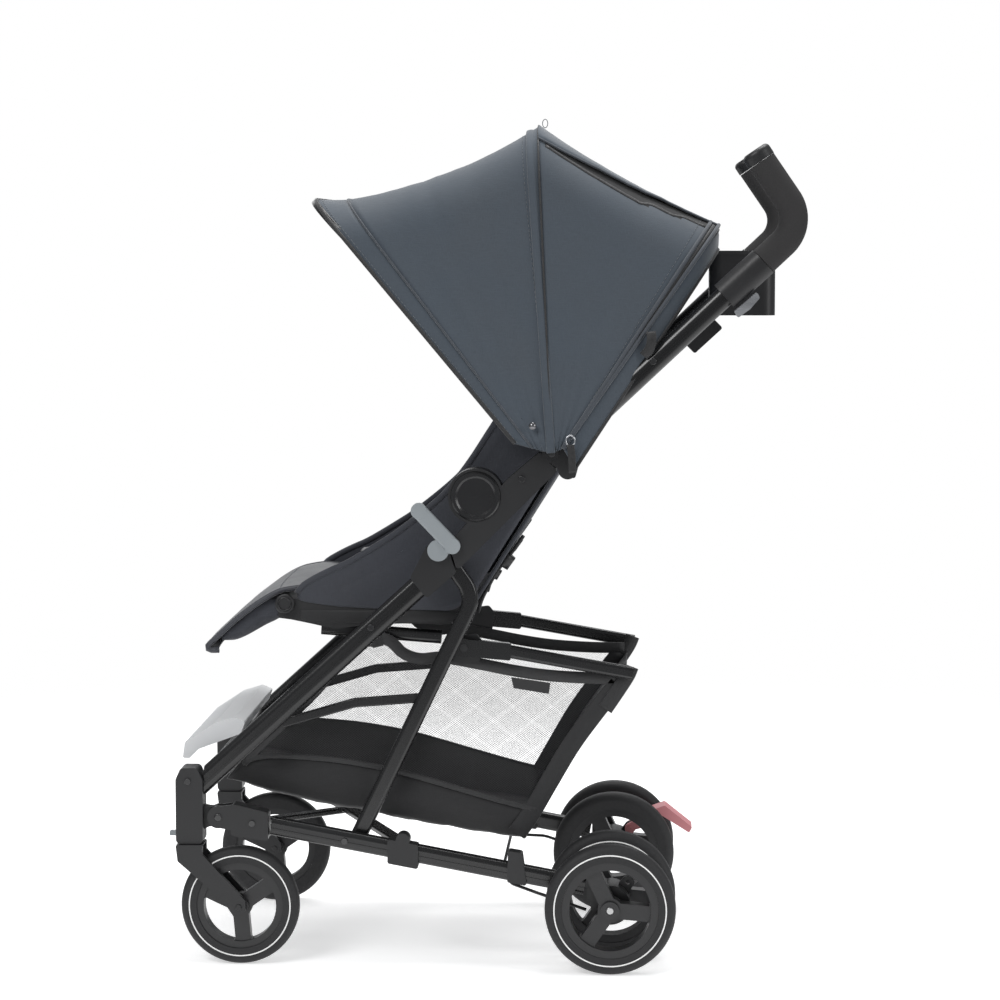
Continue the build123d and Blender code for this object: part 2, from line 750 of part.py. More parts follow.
# ---- Build and write every node ----------------------------------------------------------------

for name, side in SIDES.items():
    save(front_leg(side), f"front_leg_{name}")
    save(push_tube(side), f"push_tube_{name}")
    save(side_housing(side), f"side_housing_{name}")
    save(handle_lever(side), f"handle_lever_{name}")
    save(swivel_lock(side), f"swivel_lock_{name}")
    save(joined(caster_fork(side), front_axle(side)), f"caster_fork_{name}")
    save(tyre(FRONT_AXLE_X, FRONT_WHEEL_R, 55.0, side, (175.5, 199.4)), f"front_tyre_{name}")
    front_layers = ((176.5, 198.4), (174.0, 201.0))
    save(rim(FRONT_AXLE_X, FRONT_WHEEL_R, 55.0, side, *front_layers, 4.0, 35), f"front_rim_{name}")
    twin = [((211.5, 239.5), (207.0, 239.2)), ((121.5, 149.5), (121.8, 154.0))]
    tyres = [tyre(REAR_AXLE_X, REAR_WHEEL_R, 61.0, side, layer) for layer, _ in twin]
    save(joined(*tyres), f"rear_tyres_{name}")
    rims = [rim(REAR_AXLE_X, REAR_WHEEL_R, 61.0, side, *pair, 5.0, 115) for pair in twin]
    save(joined(*rims), f"rear_rims_{name}")

for name, make in {
    "leg_caps": leg_cap,
    "hub_covers": hub_cover,
    "handle_collars": handle_collar,
    "handle_grips": handle_grip,
    "grip_caps": grip_cap,
    "canopy_clips": canopy_clip,
    "caster_housings": caster_housing,
    "rails": rail,
    "rail_sleeves": rail_sleeve,
    "rail_collars": rail_collar,
    "rear_clips": rear_clip,
    "rear_housings": rear_housing,
    "rear_axles": rear_axle,
    "struts": strut,
    "arm_knuckles": knuckle,
    "basket_arms": basket_arm,
    "side_braces": side_brace,
    "seat_rails": seat_rail,
    "side_panels": side_panel,
    "calf_buttons": calf_button,
}.items():
    save(both(make), name)

save(fold_latch(), "fold_latch")
save(cup_holder(), "cup_holder")
save(cup_bracket(), "cup_bracket")
save(foot_bar(), "foot_bar")
save(footrest(), "footrest")
save(joined(cross_brace(LEFT, 0.0), cross_brace(RIGHT, -10.0)), "cross_braces")
save(brake_pedal(), "brake_pedal")
save(brake_cable(), "brake_cable")
save(seat_base(), "seat_base")
save(backrest(), "backrest")
save(calf_rest(), "calf_rest")
save(harness_buckle(), "harness_buckle")
save(basket(), "basket")
save(canopy_bow(FRONT_BOW, 228.0), "canopy_front_bow")
save(canopy_bow(MIDDLE_BOW, 222.3), "canopy_middle_bow")
save(canopy_bow(REAR_BOW, 216.6), "canopy_rear_bow")
save(canopy_gore(FRONT_BOW, MIDDLE_BOW), "canopy_front_gore")
save(canopy_gore(MIDDLE_BOW, REAR_BOW), "canopy_rear_gore")

root_pins = [strut_top_pin for side in SIDES.values()
             for strut_top_pin in (pin(*STRUT_TOP, 4.0, *sorted((side * 175.0, side * 202.4))),)]
root_pins += [rail_pin(side) for side in SIDES.values()]
root_screws = [(-378, 236, (204.6, 206.4)), (-145, 433, (197.1, 199.0)), (46, 622, (206.1, 208.0)),
               (209, 769, (200.1, 202.0))]
root_pins += [rivet(x, z, side, layer) for side in SIDES.values() for x, z, layer in root_screws]
save(joined(*root_pins), "frame_pins")
rail_screws = [(-297, 182, (200.6, 202.4)), (-180, 159, (193.1, 195.0))]
lower_pins = [rivet(x, z, side, layer) for side in SIDES.values() for x, z, layer in rail_screws]
lower_pins += [strut_pin(side) for side in SIDES.values()]
save(joined(*lower_pins), "rail_pins")
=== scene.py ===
"""Visual model of an umbrella stroller: cloth, net, straps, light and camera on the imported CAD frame."""

import json
from math import cos, exp, hypot, pi, radians, sin, tan

import bpy
import numpy as np
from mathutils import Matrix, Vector, noise
from numpy.linalg import norm


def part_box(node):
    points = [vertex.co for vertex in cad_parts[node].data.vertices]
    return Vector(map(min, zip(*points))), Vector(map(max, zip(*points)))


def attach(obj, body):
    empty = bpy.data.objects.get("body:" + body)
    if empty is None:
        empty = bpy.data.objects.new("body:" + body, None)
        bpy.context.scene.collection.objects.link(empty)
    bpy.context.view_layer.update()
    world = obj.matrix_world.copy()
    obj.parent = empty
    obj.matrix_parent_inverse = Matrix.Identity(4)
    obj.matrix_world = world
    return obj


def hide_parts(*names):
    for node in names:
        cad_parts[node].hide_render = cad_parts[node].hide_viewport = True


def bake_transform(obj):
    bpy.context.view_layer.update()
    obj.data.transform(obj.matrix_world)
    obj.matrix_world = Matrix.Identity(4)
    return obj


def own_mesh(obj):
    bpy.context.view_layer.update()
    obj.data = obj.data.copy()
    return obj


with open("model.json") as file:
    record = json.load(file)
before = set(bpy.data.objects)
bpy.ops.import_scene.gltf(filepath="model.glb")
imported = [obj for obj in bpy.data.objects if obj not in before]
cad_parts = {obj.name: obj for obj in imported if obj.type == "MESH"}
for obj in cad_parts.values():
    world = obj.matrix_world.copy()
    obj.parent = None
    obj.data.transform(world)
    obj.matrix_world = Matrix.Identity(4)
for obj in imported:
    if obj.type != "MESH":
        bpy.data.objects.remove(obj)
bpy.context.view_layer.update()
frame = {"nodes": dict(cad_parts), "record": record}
NODES = frame["nodes"]
SLOT_OF = {part["node"]: part["material_slot"] for part in frame["record"]["subparts"]}
MM = 0.001
CLOTH_MM = 1.2  # thickness of a cloth shell
SIM_FRAMES = 20  # length of each padding simulation
SIDES = {"left": -1, "right": 1}

# Places shared with the CAD frame, as (X, Z) in millimetres
CANOPY_PIVOT = (84.0, 655.0)
BACK_PIVOT = (-9.0, 477.0)
BACK_LEAN = radians(57.9)
BACK_UP = (cos(BACK_LEAN), sin(BACK_LEAN))
BACK_FRONT = (-sin(BACK_LEAN), cos(BACK_LEAN))
PANEL_Y = 145.8


# ---- Materials -------------------------------------------------------------------------------

class Surface:
    """One procedural material: a Principled shader with noise-driven colour, roughness and bump."""

    def __init__(self, name, roughness=0.5, **sockets):
        self.material = bpy.data.materials.new(name)
        self.material.use_nodes = True
        self.tree = self.material.node_tree
        self.shader = self.tree.nodes["Principled BSDF"]
        self.place = self.add("ShaderNodeTexCoord").outputs["Object"]
        self.normal = None
        for socket, value in {"Roughness": roughness, **sockets}.items():
            self.shader.inputs[socket.replace("_", " ")].default_value = value

    def add(self, kind, **settings):
        node = self.tree.nodes.new(kind)
        for key, value in settings.items():
            setattr(node, key, value)
        return node

    def link(self, source, target):
        self.tree.links.new(source, target)

    def grain(self, scale, detail=3.0, stretch=(1, 1, 1), turn=(0, 0, 0)):
        """Noise from 0 to 1; a stretch below 1 draws it out along that axis."""
        mapping = self.add("ShaderNodeMapping")
        mapping.inputs["Scale"].default_value = stretch
        mapping.inputs["Rotation"].default_value = turn
        texture = self.add("ShaderNodeTexNoise")
        texture.inputs["Scale"].default_value = scale
        texture.inputs["Detail"].default_value = detail
        self.link(self.place, mapping.inputs["Vector"])
        self.link(mapping.outputs["Vector"], texture.inputs["Vector"])
        return texture.outputs["Fac"]

    def maths(self, operation, a, b):
        node = self.add("ShaderNodeMath", operation=operation)
        for socket, value in zip(node.inputs, (a, b)):
            if isinstance(value, (int, float)):
                socket.default_value = value
            else:
                self.link(value, socket)
        return node.outputs[0]

    def tones(self, fac, *stops):
        """Base colour from (place, (r, g, b)) stops."""
        ramp = self.add("ShaderNodeValToRGB")
        elements = ramp.color_ramp.elements
        while len(elements) < len(stops):
            elements.new(0.5)
        for element, (place, colour) in zip(elements, stops):
            element.position = place
            element.color = (*colour, 1)
        self.link(fac, ramp.inputs["Fac"])
        self.link(ramp.outputs["Color"], self.shader.inputs["Base Color"])
        return self

    def rough(self, fac, low, high):
        scale = self.add("ShaderNodeMapRange")
        scale.inputs["From Min"].default_value, scale.inputs["From Max"].default_value = 0.3, 0.7
        scale.inputs["To Min"].default_value, scale.inputs["To Max"].default_value = low, high
        self.link(fac, scale.inputs["Value"])
        self.link(scale.outputs["Result"], self.shader.inputs["Roughness"])
        return self

    def bump(self, height, strength, distance=0.001):
        node = self.add("ShaderNodeBump")
        node.inputs["Strength"].default_value = strength
        node.inputs["Distance"].default_value = distance
        self.link(height, node.inputs["Height"])
        if self.normal is not None:
            self.link(self.normal, node.inputs["Normal"])
        self.normal = node.outputs["Normal"]
        self.link(self.normal, self.shader.inputs["Normal"])
        return self


def shade(colour, factor):
    return tuple(channel * factor for channel in colour)


def fabric(name, colour, contrast=0.18, threads=900.0, sheen=0.35, roughness=0.78, creases=0.25):
    """Plain-weave cloth: crossing threads, uneven dye and soft creases."""
    surface = Surface(name, roughness, Sheen_Weight=sheen, Sheen_Roughness=0.45)
    warp = surface.grain(threads, 1.0, (1, 1, 0.12))
    weft = surface.grain(threads, 1.0, (0.12, 0.12, 1))
    weave = surface.maths("MAXIMUM", warp, weft)
    cloud = surface.grain(14.0, 4.0)
    tone = surface.maths("ADD", surface.maths("MULTIPLY", weave, 0.55),
        surface.maths("MULTIPLY", cloud, 0.45))
    surface.tones(tone, (0.32, shade(colour, 1 - contrast)), (0.5, colour),
        (0.7, shade(colour, 1 + contrast)))
    surface.rough(cloud, roughness - 0.07, min(1.0, roughness + 0.09))
    surface.bump(weave, 0.35, 0.0006)
    surface.bump(surface.grain(22.0, 3.0, (1, 1, 0.5)), creases, 0.004)
    return surface.material


def webbing(name, colour):
    """Ribbed narrow tape."""
    surface = Surface(name, 0.6, Sheen_Weight=0.2)
    ribs = surface.grain(700.0, 0.0, (1, 0.15, 1))
    surface.tones(ribs, (0.35, shade(colour, 0.7)), (0.65, shade(colour, 1.35)))
    surface.rough(ribs, 0.5, 0.72)
    return surface.bump(ribs, 0.5, 0.0008).material


def moulded(name, colour, low, high, grain=0.12, contrast=0.12, scale=420.0, **sockets):
    """Injection-moulded plastic or paint with a fine grain and slight unevenness."""
    surface = Surface(name, low, **sockets)
    cloud = surface.grain(9.0, 5.0)
    fine = surface.grain(scale, 2.0)
    surface.tones(cloud, (0.3, shade(colour, 1 - contrast)), (0.7, shade(colour, 1 + contrast)))
    surface.rough(surface.maths("ADD", surface.maths("MULTIPLY", cloud, 0.6),
        surface.maths("MULTIPLY", fine, 0.4)), low, high)
    return surface.bump(fine, grain, 0.0003).material


def brushed(name, colour, low, high):
    surface = Surface(name, low, Metallic=1.0)
    lines = surface.grain(260.0, 3.0, (0.06, 1, 0.6))
    surface.tones(lines, (0.3, shade(colour, 0.86)), (0.7, shade(colour, 1.08)))
    surface.rough(lines, low, high)
    return surface.bump(lines, 0.08, 0.0004).material


SLATE = (0.052, 0.066, 0.083)
MATERIALS = {
    "frame_tube": moulded("painted_tube", (0.006, 0.006, 0.0065), 0.22, 0.32, 0.02, Coat_Weight=0.2,
            Coat_Roughness=0.12),
    "plastic": moulded("charcoal_plastic", (0.015, 0.015, 0.016), 0.36, 0.5, 0.1),
    "gloss_black": moulded("gloss_plastic", (0.014, 0.014, 0.015), 0.16, 0.3, 0.03),
    "foam": moulded("foam_rubber", (0.026, 0.025, 0.0255), 0.72, 0.9, 0.55, scale=520.0),
    "grey_plastic": moulded("grey_plastic", (0.27, 0.295, 0.31), 0.35, 0.48, 0.08),
    "white_plastic": moulded("white_plastic", (0.76, 0.77, 0.78), 0.3, 0.36, 0.0, contrast=0.01),
    "silver": brushed("brushed_silver", (0.62, 0.63, 0.65), 0.18, 0.34),
    "bolt_steel": moulded("black_bolt", (0.016, 0.016, 0.017), 0.12, 0.22, 0.03, Coat_Weight=0.5),
    "axle_steel": brushed("axle_steel", (0.5, 0.5, 0.5), 0.25, 0.4),
    "tyre": moulded("tyre_rubber", (0.014, 0.014, 0.015), 0.55, 0.78, 0.4, scale=300.0),
    "rim": moulded("rim_plastic", (0.017, 0.017, 0.018), 0.3, 0.46, 0.1),
    "hood_fabric": fabric("hood_cloth", SLATE, 0.14),
    "seat_fabric": fabric("seat_cloth", (0.037, 0.04, 0.05), 0.18, creases=0.4),
    "basket_fabric": fabric("basket_cloth", (0.012, 0.012, 0.013), 0.3, sheen=0.2, roughness=0.66,
            creases=0.8),
    "cable_sheath": moulded("cable_sheath", (0.016, 0.016, 0.016), 0.35, 0.5, 0.1),
    "red_plastic": moulded("pedal_red", (0.7, 0.27, 0.29), 0.35, 0.5, 0.1, contrast=0.06),
}
HOOD, SEAT, BASKET = (MATERIALS[slot] for slot in ("hood_fabric", "seat_fabric", "basket_fabric"))
HOOD_INSIDE = fabric("hood_lining", (0.03, 0.034, 0.04), 0.15)
# Dark cloth for the patch under the vent flap: painted shade standing in for the shadow beneath the flap
FLAP_SHADE_CLOTH = fabric("flap_shade_cloth", (0.012, 0.012, 0.013), 0.4, threads=500.0, sheen=0.1)
PIPING = fabric("piping_cloth", (0.05, 0.058, 0.07), 0.2, threads=1200.0, creases=0.0)
PAD_CLOTH = fabric("pad_cloth", (0.03, 0.033, 0.039), 0.18, creases=0.3)
KNEE_CLOTH = fabric("knee_cloth", (0.04, 0.043, 0.052), 0.14, sheen=0.35, roughness=0.5)
STITCH = fabric("stitch_thread", (0.10, 0.115, 0.13), 0.2, threads=1500.0, creases=0.0)
TAPE = webbing("black_webbing", (0.013, 0.013, 0.014))
BINDING = webbing("binding_tape", (0.018, 0.018, 0.019))
NET = moulded("net_thread", (0.05, 0.05, 0.053), 0.5, 0.7, 0.1)
RING_WHITE = moulded("ring_white", (0.88, 0.88, 0.87), 0.4, 0.55, 0.05, contrast=0.03)
TAB_BLACK = moulded("blank_tab", (0.02, 0.02, 0.021), 0.35, 0.5, 0.2)
STUD = brushed("stud_metal", (0.2, 0.2, 0.21), 0.2, 0.35)

for node_name, node in NODES.items():
    node.data.materials.clear()
    node.data.materials.append(MATERIALS[SLOT_OF[node_name]])


# ---- Mesh helpers ----------------------------------------------------------------------------

def mesh_object(name, points, faces, *materials, smooth=True, indices=None):
    """Points are in millimetres."""
    mesh = bpy.data.meshes.new(name)
    mesh.from_pydata([tuple(float(c) * MM for c in p) for p in points], [], faces)
    for material in materials:
        mesh.materials.append(material)
    if indices is not None:
        mesh.polygons.foreach_set("material_index", indices)
    mesh.polygons.foreach_set("use_smooth", [smooth] * len(mesh.polygons))
    mesh.validate()
    piece = bpy.data.objects.new(name, mesh)
    bpy.context.scene.collection.objects.link(piece)
    return piece


def grid_faces(rows, columns, wrap=False):
    faces = []
    for i in range(rows - 1):
        for j in range(columns if wrap else columns - 1):
            k = (j + 1) % columns
            faces.append((i * columns + j, (i + 1) * columns + j, (i + 1) * columns + k, i * columns + k))
    return faces


def grid_normals(points):
    """Unit normals of a (rows, columns, 3) grid."""
    along_rows, along_columns = np.gradient(points, axis=0), np.gradient(points, axis=1)
    normals = np.cross(along_rows, along_columns)
    length = norm(normals, axis=2, keepdims=True)
    return normals / np.maximum(length, 1e-9)


def ripple_at(x, y, z):
    return noise.noise(Vector((x, y, z)))


def shell_faces(rows, columns):
    """Faces of the outer layer, of the lining whose points follow it, and of the closed rim."""
    count = rows * columns
    outer = grid_faces(rows, columns)
    inner = [tuple(count + v for v in reversed(face)) for face in outer]
    rim = [i * columns for i in range(rows)]
    rim += [(rows - 1) * columns + j for j in range(1, columns)]
    rim += [i * columns + columns - 1 for i in range(rows - 2, -1, -1)]
    rim += list(range(columns - 2, 0, -1))
    walls = [(a, count + a, count + b, b) for a, b in zip(rim, rim[1:] + rim[:1])]
    return outer, inner, walls


def sheet_grid(name, points, thickness, *materials, pick=lambda i, j: 0, flip=False):
    """A thin cloth shell from a grid: the outer layer, a lining set in along the normals, and a closed rim.

    pick gives the outer layer's material by row and column; lining and rim take the second material."""
    rows, columns, _ = points.shape
    normals = grid_normals(points) * (-1 if flip else 1)
    lining = points - normals * thickness
    everything = np.concatenate([points.reshape(-1, 3), lining.reshape(-1, 3)])
    outer, inner, walls = shell_faces(rows, columns)
    faces = outer + inner + walls
    chosen = [pick(face[0] // columns, face[0] % columns) for face in outer]
    indices = chosen + [1] * (len(inner) + len(walls))
    piece = mesh_object(name, everything, faces, *materials, indices=indices)
    flat_area = sum(
        norm(np.cross(points[i + 1, j] - points[i, j], points[i, j + 1] - points[i, j])) / 2
        + norm(np.cross(points[i + 1, j] - points[i + 1, j + 1], points[i, j + 1] - points[i + 1,
                j + 1])) / 2
        for i in range(rows - 1) for j in range(columns - 1)
    ) * MM * MM
    middle = points[:, columns // 2]
    across = norm(np.diff(middle, axis=0), axis=1).sum() * MM
    return piece, (flat_area / across, across)


def smooth_line(points, count):
    """A Catmull-Rom curve through the points, at equal steps along its length."""
    p = np.array(points, float)
    p = np.vstack([2 * p[0] - p[1], p, 2 * p[-1] - p[-2]])
    fine = []
    for k in range(1, len(p) - 2):
        for t in np.linspace(0, 1, 24, endpoint=False):
            a, b, c, d = p[k - 1], p[k], p[k + 1], p[k + 2]
            fine.append(0.5 * (2 * b + (c - a) * t + (2 * a - 5 * b + 4 * c - d) * t**2
                + (3 * b - a - 3 * c + d) * t**3))
    fine.append(p[-2])
    return evenly(np.array(fine), count)


def evenly(line, count):
    steps = np.concatenate([[0], np.cumsum(norm(np.diff(line, axis=0), axis=1))])
    at = np.linspace(0, steps[-1], count)
    return np.stack([np.interp(at, steps, line[:, k]) for k in range(line.shape[1])], axis=1)


def sweep(name, line, across, up_hint, section, material, closed=False):
    """Sweeps a section of (sideways, up) offsets along a line; across may be a fixed sideways direction."""
    line = np.array(line, float)
    count = len(line)
    if closed:
        tangents = np.roll(line, -1, 0) - np.roll(line, 1, 0)
    else:
        tangents = np.gradient(line, axis=0)
    tangents /= np.maximum(norm(tangents, axis=1, keepdims=True), 1e-9)
    points = []
    for k in range(count):
        t = tangents[k]
        if up_hint is not None:
            up = np.array(up_hint[k] if np.ndim(up_hint) > 1 else up_hint, float)
            side = np.cross(t, up)
        else:
            side = np.array(across, float)
        side = side - t * side.dot(t)
        side /= max(norm(side), 1e-9)
        up = np.cross(side, t)
        points += [line[k] + side * a + up * b for a, b in section]
    n = len(section)
    faces = grid_faces(count, n, wrap=True)
    if closed:
        last = (count - 1) * n
        faces += [(last + j, j, (j + 1) % n, last + (j + 1) % n) for j in range(n)]
    else:
        faces += [tuple(range(n)), tuple(reversed(range((count - 1) * n, count * n)))]
    return mesh_object(name, points, faces, material)


def wire_ring(name, centre, half_x, half_z, radius, sides, steps, material):
    """A round wire bent to an oval in the plane of X and Z."""
    x, y, z = centre
    line = [(x + half_x * cos(a), y, z + half_z * sin(a)) for a in np.linspace(0, 2 * pi, steps,
        endpoint=False)]
    return sweep(name, line, None, (0, 1, 0), round_section(radius, sides), material, closed=True)


def round_section(radius, sides=10, flat=1.0):
    return [(radius * cos(2 * pi * k / sides), flat * radius * sin(2 * pi * k / sides))
        for k in range(sides)]


def tape_section(width, thickness):
    w, t = width / 2, thickness / 2
    c = min(t, w) * 0.7
    return [(w, -t + c), (w, t - c), (w - c, t), (-w + c, t), (-w, t - c), (-w, -t + c), (-w + c, -t),
        (w - c, -t)]


def stitches(name, line, normals, dash=3.4, gap=2.6, width=0.7):
    """A row of short raised thread dashes on a surface."""
    line = np.array(line, float)
    steps = np.concatenate([[0], np.cumsum(norm(np.diff(line, axis=0), axis=1))])
    points, faces = [], []
    start = gap
    normals = np.array(normals, float)
    while start + dash < steps[-1]:
        ends = []
        for s in (start, start + dash):
            place = np.array([np.interp(s, steps, line[:, k]) for k in range(3)])
            out = np.array([np.interp(s, steps, normals[:, k]) for k in range(3)])
            ends.append((place, out / max(norm(out), 1e-9)))
        (a, out_a), (b, out_b) = ends
        along = (b - a) / max(norm(b - a), 1e-9)
        side = np.cross(along, out_a)
        base = len(points)
        for place, out in ends:
            points += [place - side * width / 2 - out * 0.3, place + out * width * 0.6,
                place + side * width / 2 - out * 0.3]
        faces += [(base, base + 1, base + 4, base + 3), (base + 1, base + 2, base + 5, base + 4),
            (base, base + 2, base + 1), (base + 3, base + 4, base + 5)]
        start += dash + gap
    return mesh_object(name, points, faces, STITCH, smooth=False)


def apply_modifiers(piece):
    graph = bpy.context.evaluated_depsgraph_get()
    mesh = bpy.data.meshes.new_from_object(piece.evaluated_get(graph))
    piece.modifiers.clear()
    piece.data = mesh
    return piece


def coordinates(mesh):
    values = np.empty(len(mesh.vertices) * 3)
    mesh.vertices.foreach_get("co", values)
    return values.reshape(-1, 3)


def set_coordinates(mesh, values):
    mesh.vertices.foreach_set("co", values.reshape(-1))
    mesh.update()


def puffed(piece, voxel, cap, pressure=4.0):
    """Swells a closed pad with a short cloth simulation; no point moves further than the cap."""
    remesh = piece.modifiers.new("remesh", "REMESH")
    remesh.mode, remesh.voxel_size = "VOXEL", voxel * MM
    apply_modifiers(piece)
    rest = coordinates(piece.data)
    cloth = piece.modifiers.new("cloth", "CLOTH")
    cloth.settings.use_pressure = True
    cloth.settings.uniform_pressure_force = pressure
    cloth.settings.effector_weights.gravity = 0
    cloth.settings.quality = 5
    cloth.point_cache.frame_start, cloth.point_cache.frame_end = 1, SIM_FRAMES
    for step in range(1, SIM_FRAMES + 1):
        bpy.context.scene.frame_set(step)
    apply_modifiers(piece)
    moved = coordinates(piece.data) - rest
    length = norm(moved, axis=1, keepdims=True)
    moved *= np.minimum(1, cap * MM / np.maximum(length, 1e-9))
    set_coordinates(piece.data, rest + moved)
    bpy.context.scene.frame_set(1)
    piece.modifiers.new("smooth", "SMOOTH").iterations = 3
    subdivide = piece.modifiers.new("subdivide", "SUBSURF")
    subdivide.levels = subdivide.render_levels = 1
    apply_modifiers(piece)
    piece.data.polygons.foreach_set("use_smooth", [True] * len(piece.data.polygons))
    return piece


def slab(name, outline, half_width, material, other_side=None):
    """A closed block from a side outline (X, Z), between -half_width and half_width or another Y."""
    ends = (-half_width, half_width) if other_side is None else (half_width, other_side)
    n = len(outline)
    points = [(x, y, z) for y in ends for x, z in outline]
    faces = [tuple(range(n)), tuple(reversed(range(n, 2 * n)))]
    faces += [(k, k + n, (k + 1) % n + n, (k + 1) % n) for k in range(n)]
    return mesh_object(name, points, faces, material, smooth=False)


def rounded(piece, radius):
    bevel = piece.modifiers.new("bevel", "BEVEL")
    bevel.width, bevel.segments = radius * MM, 3
    apply_modifiers(piece)
    piece.data.polygons.foreach_set("use_smooth", [True] * len(piece.data.polygons))


def dent(piece, lines, depth, width, facing):
    """Sewn channels: presses in the side facing a direction, along lines given as distance functions."""
    values = coordinates(piece.data) / MM
    normals = np.array([v.normal for v in piece.data.vertices])
    towards = normals @ np.array(facing)
    for distance in lines:
        d = np.array([distance(p) for p in values])
        press = depth * np.exp(-(d / width) ** 2) * np.clip(towards * 1.6, 0, 1)
        values -= np.array(facing) * press[:, None]
    set_coordinates(piece.data, values * MM)


# ---- Canopy ----------------------------------------------------------------------------------

HOOP_LEG, HOOP_BEND, HOOP_TOP = 22, 12, 20


def hoop(base, top, half_base, half_top, radius=83.0):
    """Canopy cross-section from the left base over the top to the right base; base and top are (X, Z)."""
    corners = [np.array(p, float) for p in (
        (base[0], -half_base, base[1]), (top[0], -half_top, top[1]),
        (top[0], half_top, top[1]), (base[0], half_base, base[1]))]
    line = []
    bends = []
    for k in (1, 2):
        back, on = corners[k - 1] - corners[k], corners[k + 1] - corners[k]
        back, on = back / norm(back), on / norm(on)
        half = np.arccos(np.clip(back.dot(on), -1, 1)) / 2
        middle = corners[k] + (back + on) / norm(back + on) * radius / sin(half)
        start, end = corners[k] + back * radius / tan(half), corners[k] + on * radius / tan(half)
        a, b = start - middle, end - middle
        swing = np.arccos(np.clip(a.dot(b) / radius**2, -1, 1))
        arc = [middle + (a * sin((1 - t) * swing) + b * sin(t * swing)) / sin(swing)
            for t in np.linspace(0, 1, HOOP_BEND + 1)]
        bends.append(arc)
    for t in np.linspace(0, 1, HOOP_LEG, endpoint=False):
        line.append(corners[0] + (bends[0][0] - corners[0]) * t)
    line += bends[0]
    for t in np.linspace(0, 1, HOOP_TOP + 1)[1:-1]:
        line.append(bends[0][-1] + (bends[1][0] - bends[0][-1]) * t)
    line += bends[1]
    for t in np.linspace(0, 1, HOOP_LEG + 1)[1:]:
        line.append(bends[1][-1] + (corners[3] - bends[1][-1]) * t)
    return np.array(line)


HEM_EDGE = hoop((38, 668), (-222, 971), 230.5, 165.5)
HEM_SEAM = hoop((60, 662), (-181, 971), 230.5, 165.5)
MIDDLE_SEAM = hoop((84, 656), (62.6, 1063.5), 231.0, 165.5)
REAR_SEAM = hoop((98, 662), (291, 937.5), 229.0, 165.5)
VALANCE_EDGE = hoop((113, 637), (291, 908), 224.0, 160.0, 78.0)
HOOP_COUNT = len(HEM_EDGE)
TOP_SHARE = np.clip((np.minimum(np.arange(HOOP_COUNT),
    HOOP_COUNT - 1 - np.arange(HOOP_COUNT)) - HOOP_LEG) / HOOP_BEND, 0, 1)
LEG_SHARE = np.clip(np.minimum(np.arange(HOOP_COUNT), HOOP_COUNT - 1 - np.arange(HOOP_COUNT)) / HOOP_LEG,
    0, 1)


def gore(first, last, rows, sag_top, sag_side, wrinkle=1.2, seed=0.0):
    """Cloth stretched between two hoops, sagging inwards between them, with soft pulls from the pivots."""
    centre = np.array([70.0, 0.0, 800.0])
    points = []
    for i in range(rows):
        t = i / (rows - 1)
        line = first * (1 - t) + last * t
        along = np.gradient(line, axis=0)
        outward = np.cross(along, last - first)
        outward /= np.maximum(norm(outward, axis=1, keepdims=True), 1e-9)
        outward *= np.sign(np.sum(outward * (line - centre), axis=1))[:, None]
        belly = 4 * t * (1 - t)
        depth = belly * (sag_top * TOP_SHARE + sag_side * (1 - TOP_SHARE) * np.minimum(1,
            LEG_SHARE * 1.6))
        for j in range(HOOP_COUNT):
            s = j / HOOP_COUNT
            ripple = ripple_at(t * 9.0 + seed, LEG_SHARE[j] * 1.3 + s, seed * 2)
            fine = ripple_at(t * 17.0 + seed, LEG_SHARE[j] * 3.0, s * 3 + seed)
            depth[j] += belly * (wrinkle * ripple * (1.5 - LEG_SHARE[j] * 0.9) + 0.5 * wrinkle * fine)
        points.append(line - outward * depth[:, None])
    return np.array(points)


def outward_of(line, away_from=(60.0, 0.0, 780.0)):
    """Directions off a hoop, away from the middle of the canopy, square to the hoop line."""
    along = np.gradient(line, axis=0)
    along /= norm(along, axis=1, keepdims=True)
    spokes = line - np.array(away_from)
    plane_normal = np.cross(line[HOOP_COUNT // 3] - line[0], line[-1] - line[0])
    plane_normal /= norm(plane_normal)
    out = np.cross(along, plane_normal)
    out *= np.sign(np.sum(out * spokes, axis=1))[:, None]
    return out / norm(out, axis=1, keepdims=True)


hem_band, hem_flat = sheet_grid("canopy_hem_band", gore(HEM_EDGE, HEM_SEAM, 6, 0.5, 0.3, 0.3, 3.0),
    CLOTH_MM, HOOD, HOOD_INSIDE)
front_grid = gore(HEM_SEAM, MIDDLE_SEAM, 30, 14.0, 6.0, 1.5, 1.0)
front_cloth, front_flat = sheet_grid("canopy_front_cloth", front_grid, CLOTH_MM, HOOD, HOOD_INSIDE)
REAR_ROWS = 24
rear_grid = gore(MIDDLE_SEAM, REAR_SEAM, REAR_ROWS, 9.0, 4.0, 1.3, 5.0)
# How far down from the top the painted-shade patch under the vent flap reaches, at its front and rear ends
SHADE_DROP_FRONT, SHADE_DROP_REAR = 26.0, 8.0


def in_flap_shade(i, j):
    """True where the rear cloth takes the dark cloth under the vent flap: painted shade for the shadow
    beneath the flap.
    """
    t = i / (REAR_ROWS - 1)
    drop = SHADE_DROP_FRONT * (1 - t) + SHADE_DROP_REAR * t
    centre = rear_grid[i, HOOP_COUNT // 2]
    radial = np.array([centre[0] - CANOPY_PIVOT[0], 0, centre[2] - CANOPY_PIVOT[1]])
    radial /= norm(radial)
    return 2 if (centre - rear_grid[i, j]).dot(radial) < drop and 0.03 < t < 0.96 else 0


rear_cloth, rear_flat = sheet_grid("canopy_rear_cloth", rear_grid, CLOTH_MM, HOOD, HOOD_INSIDE, FLAP_SHADE_CLOTH,
    pick=in_flap_shade)
valance, valance_flat = sheet_grid("canopy_valance",
    gore(REAR_SEAM, VALANCE_EDGE, 6, -1.0, -1.5, 1.0, 8.0), CLOTH_MM, HOOD, HOOD_INSIDE)


def hoop_trim(name, line, lift, section, material):
    out = outward_of(line)
    return sweep(name, line + out * lift, None, out, section, material)


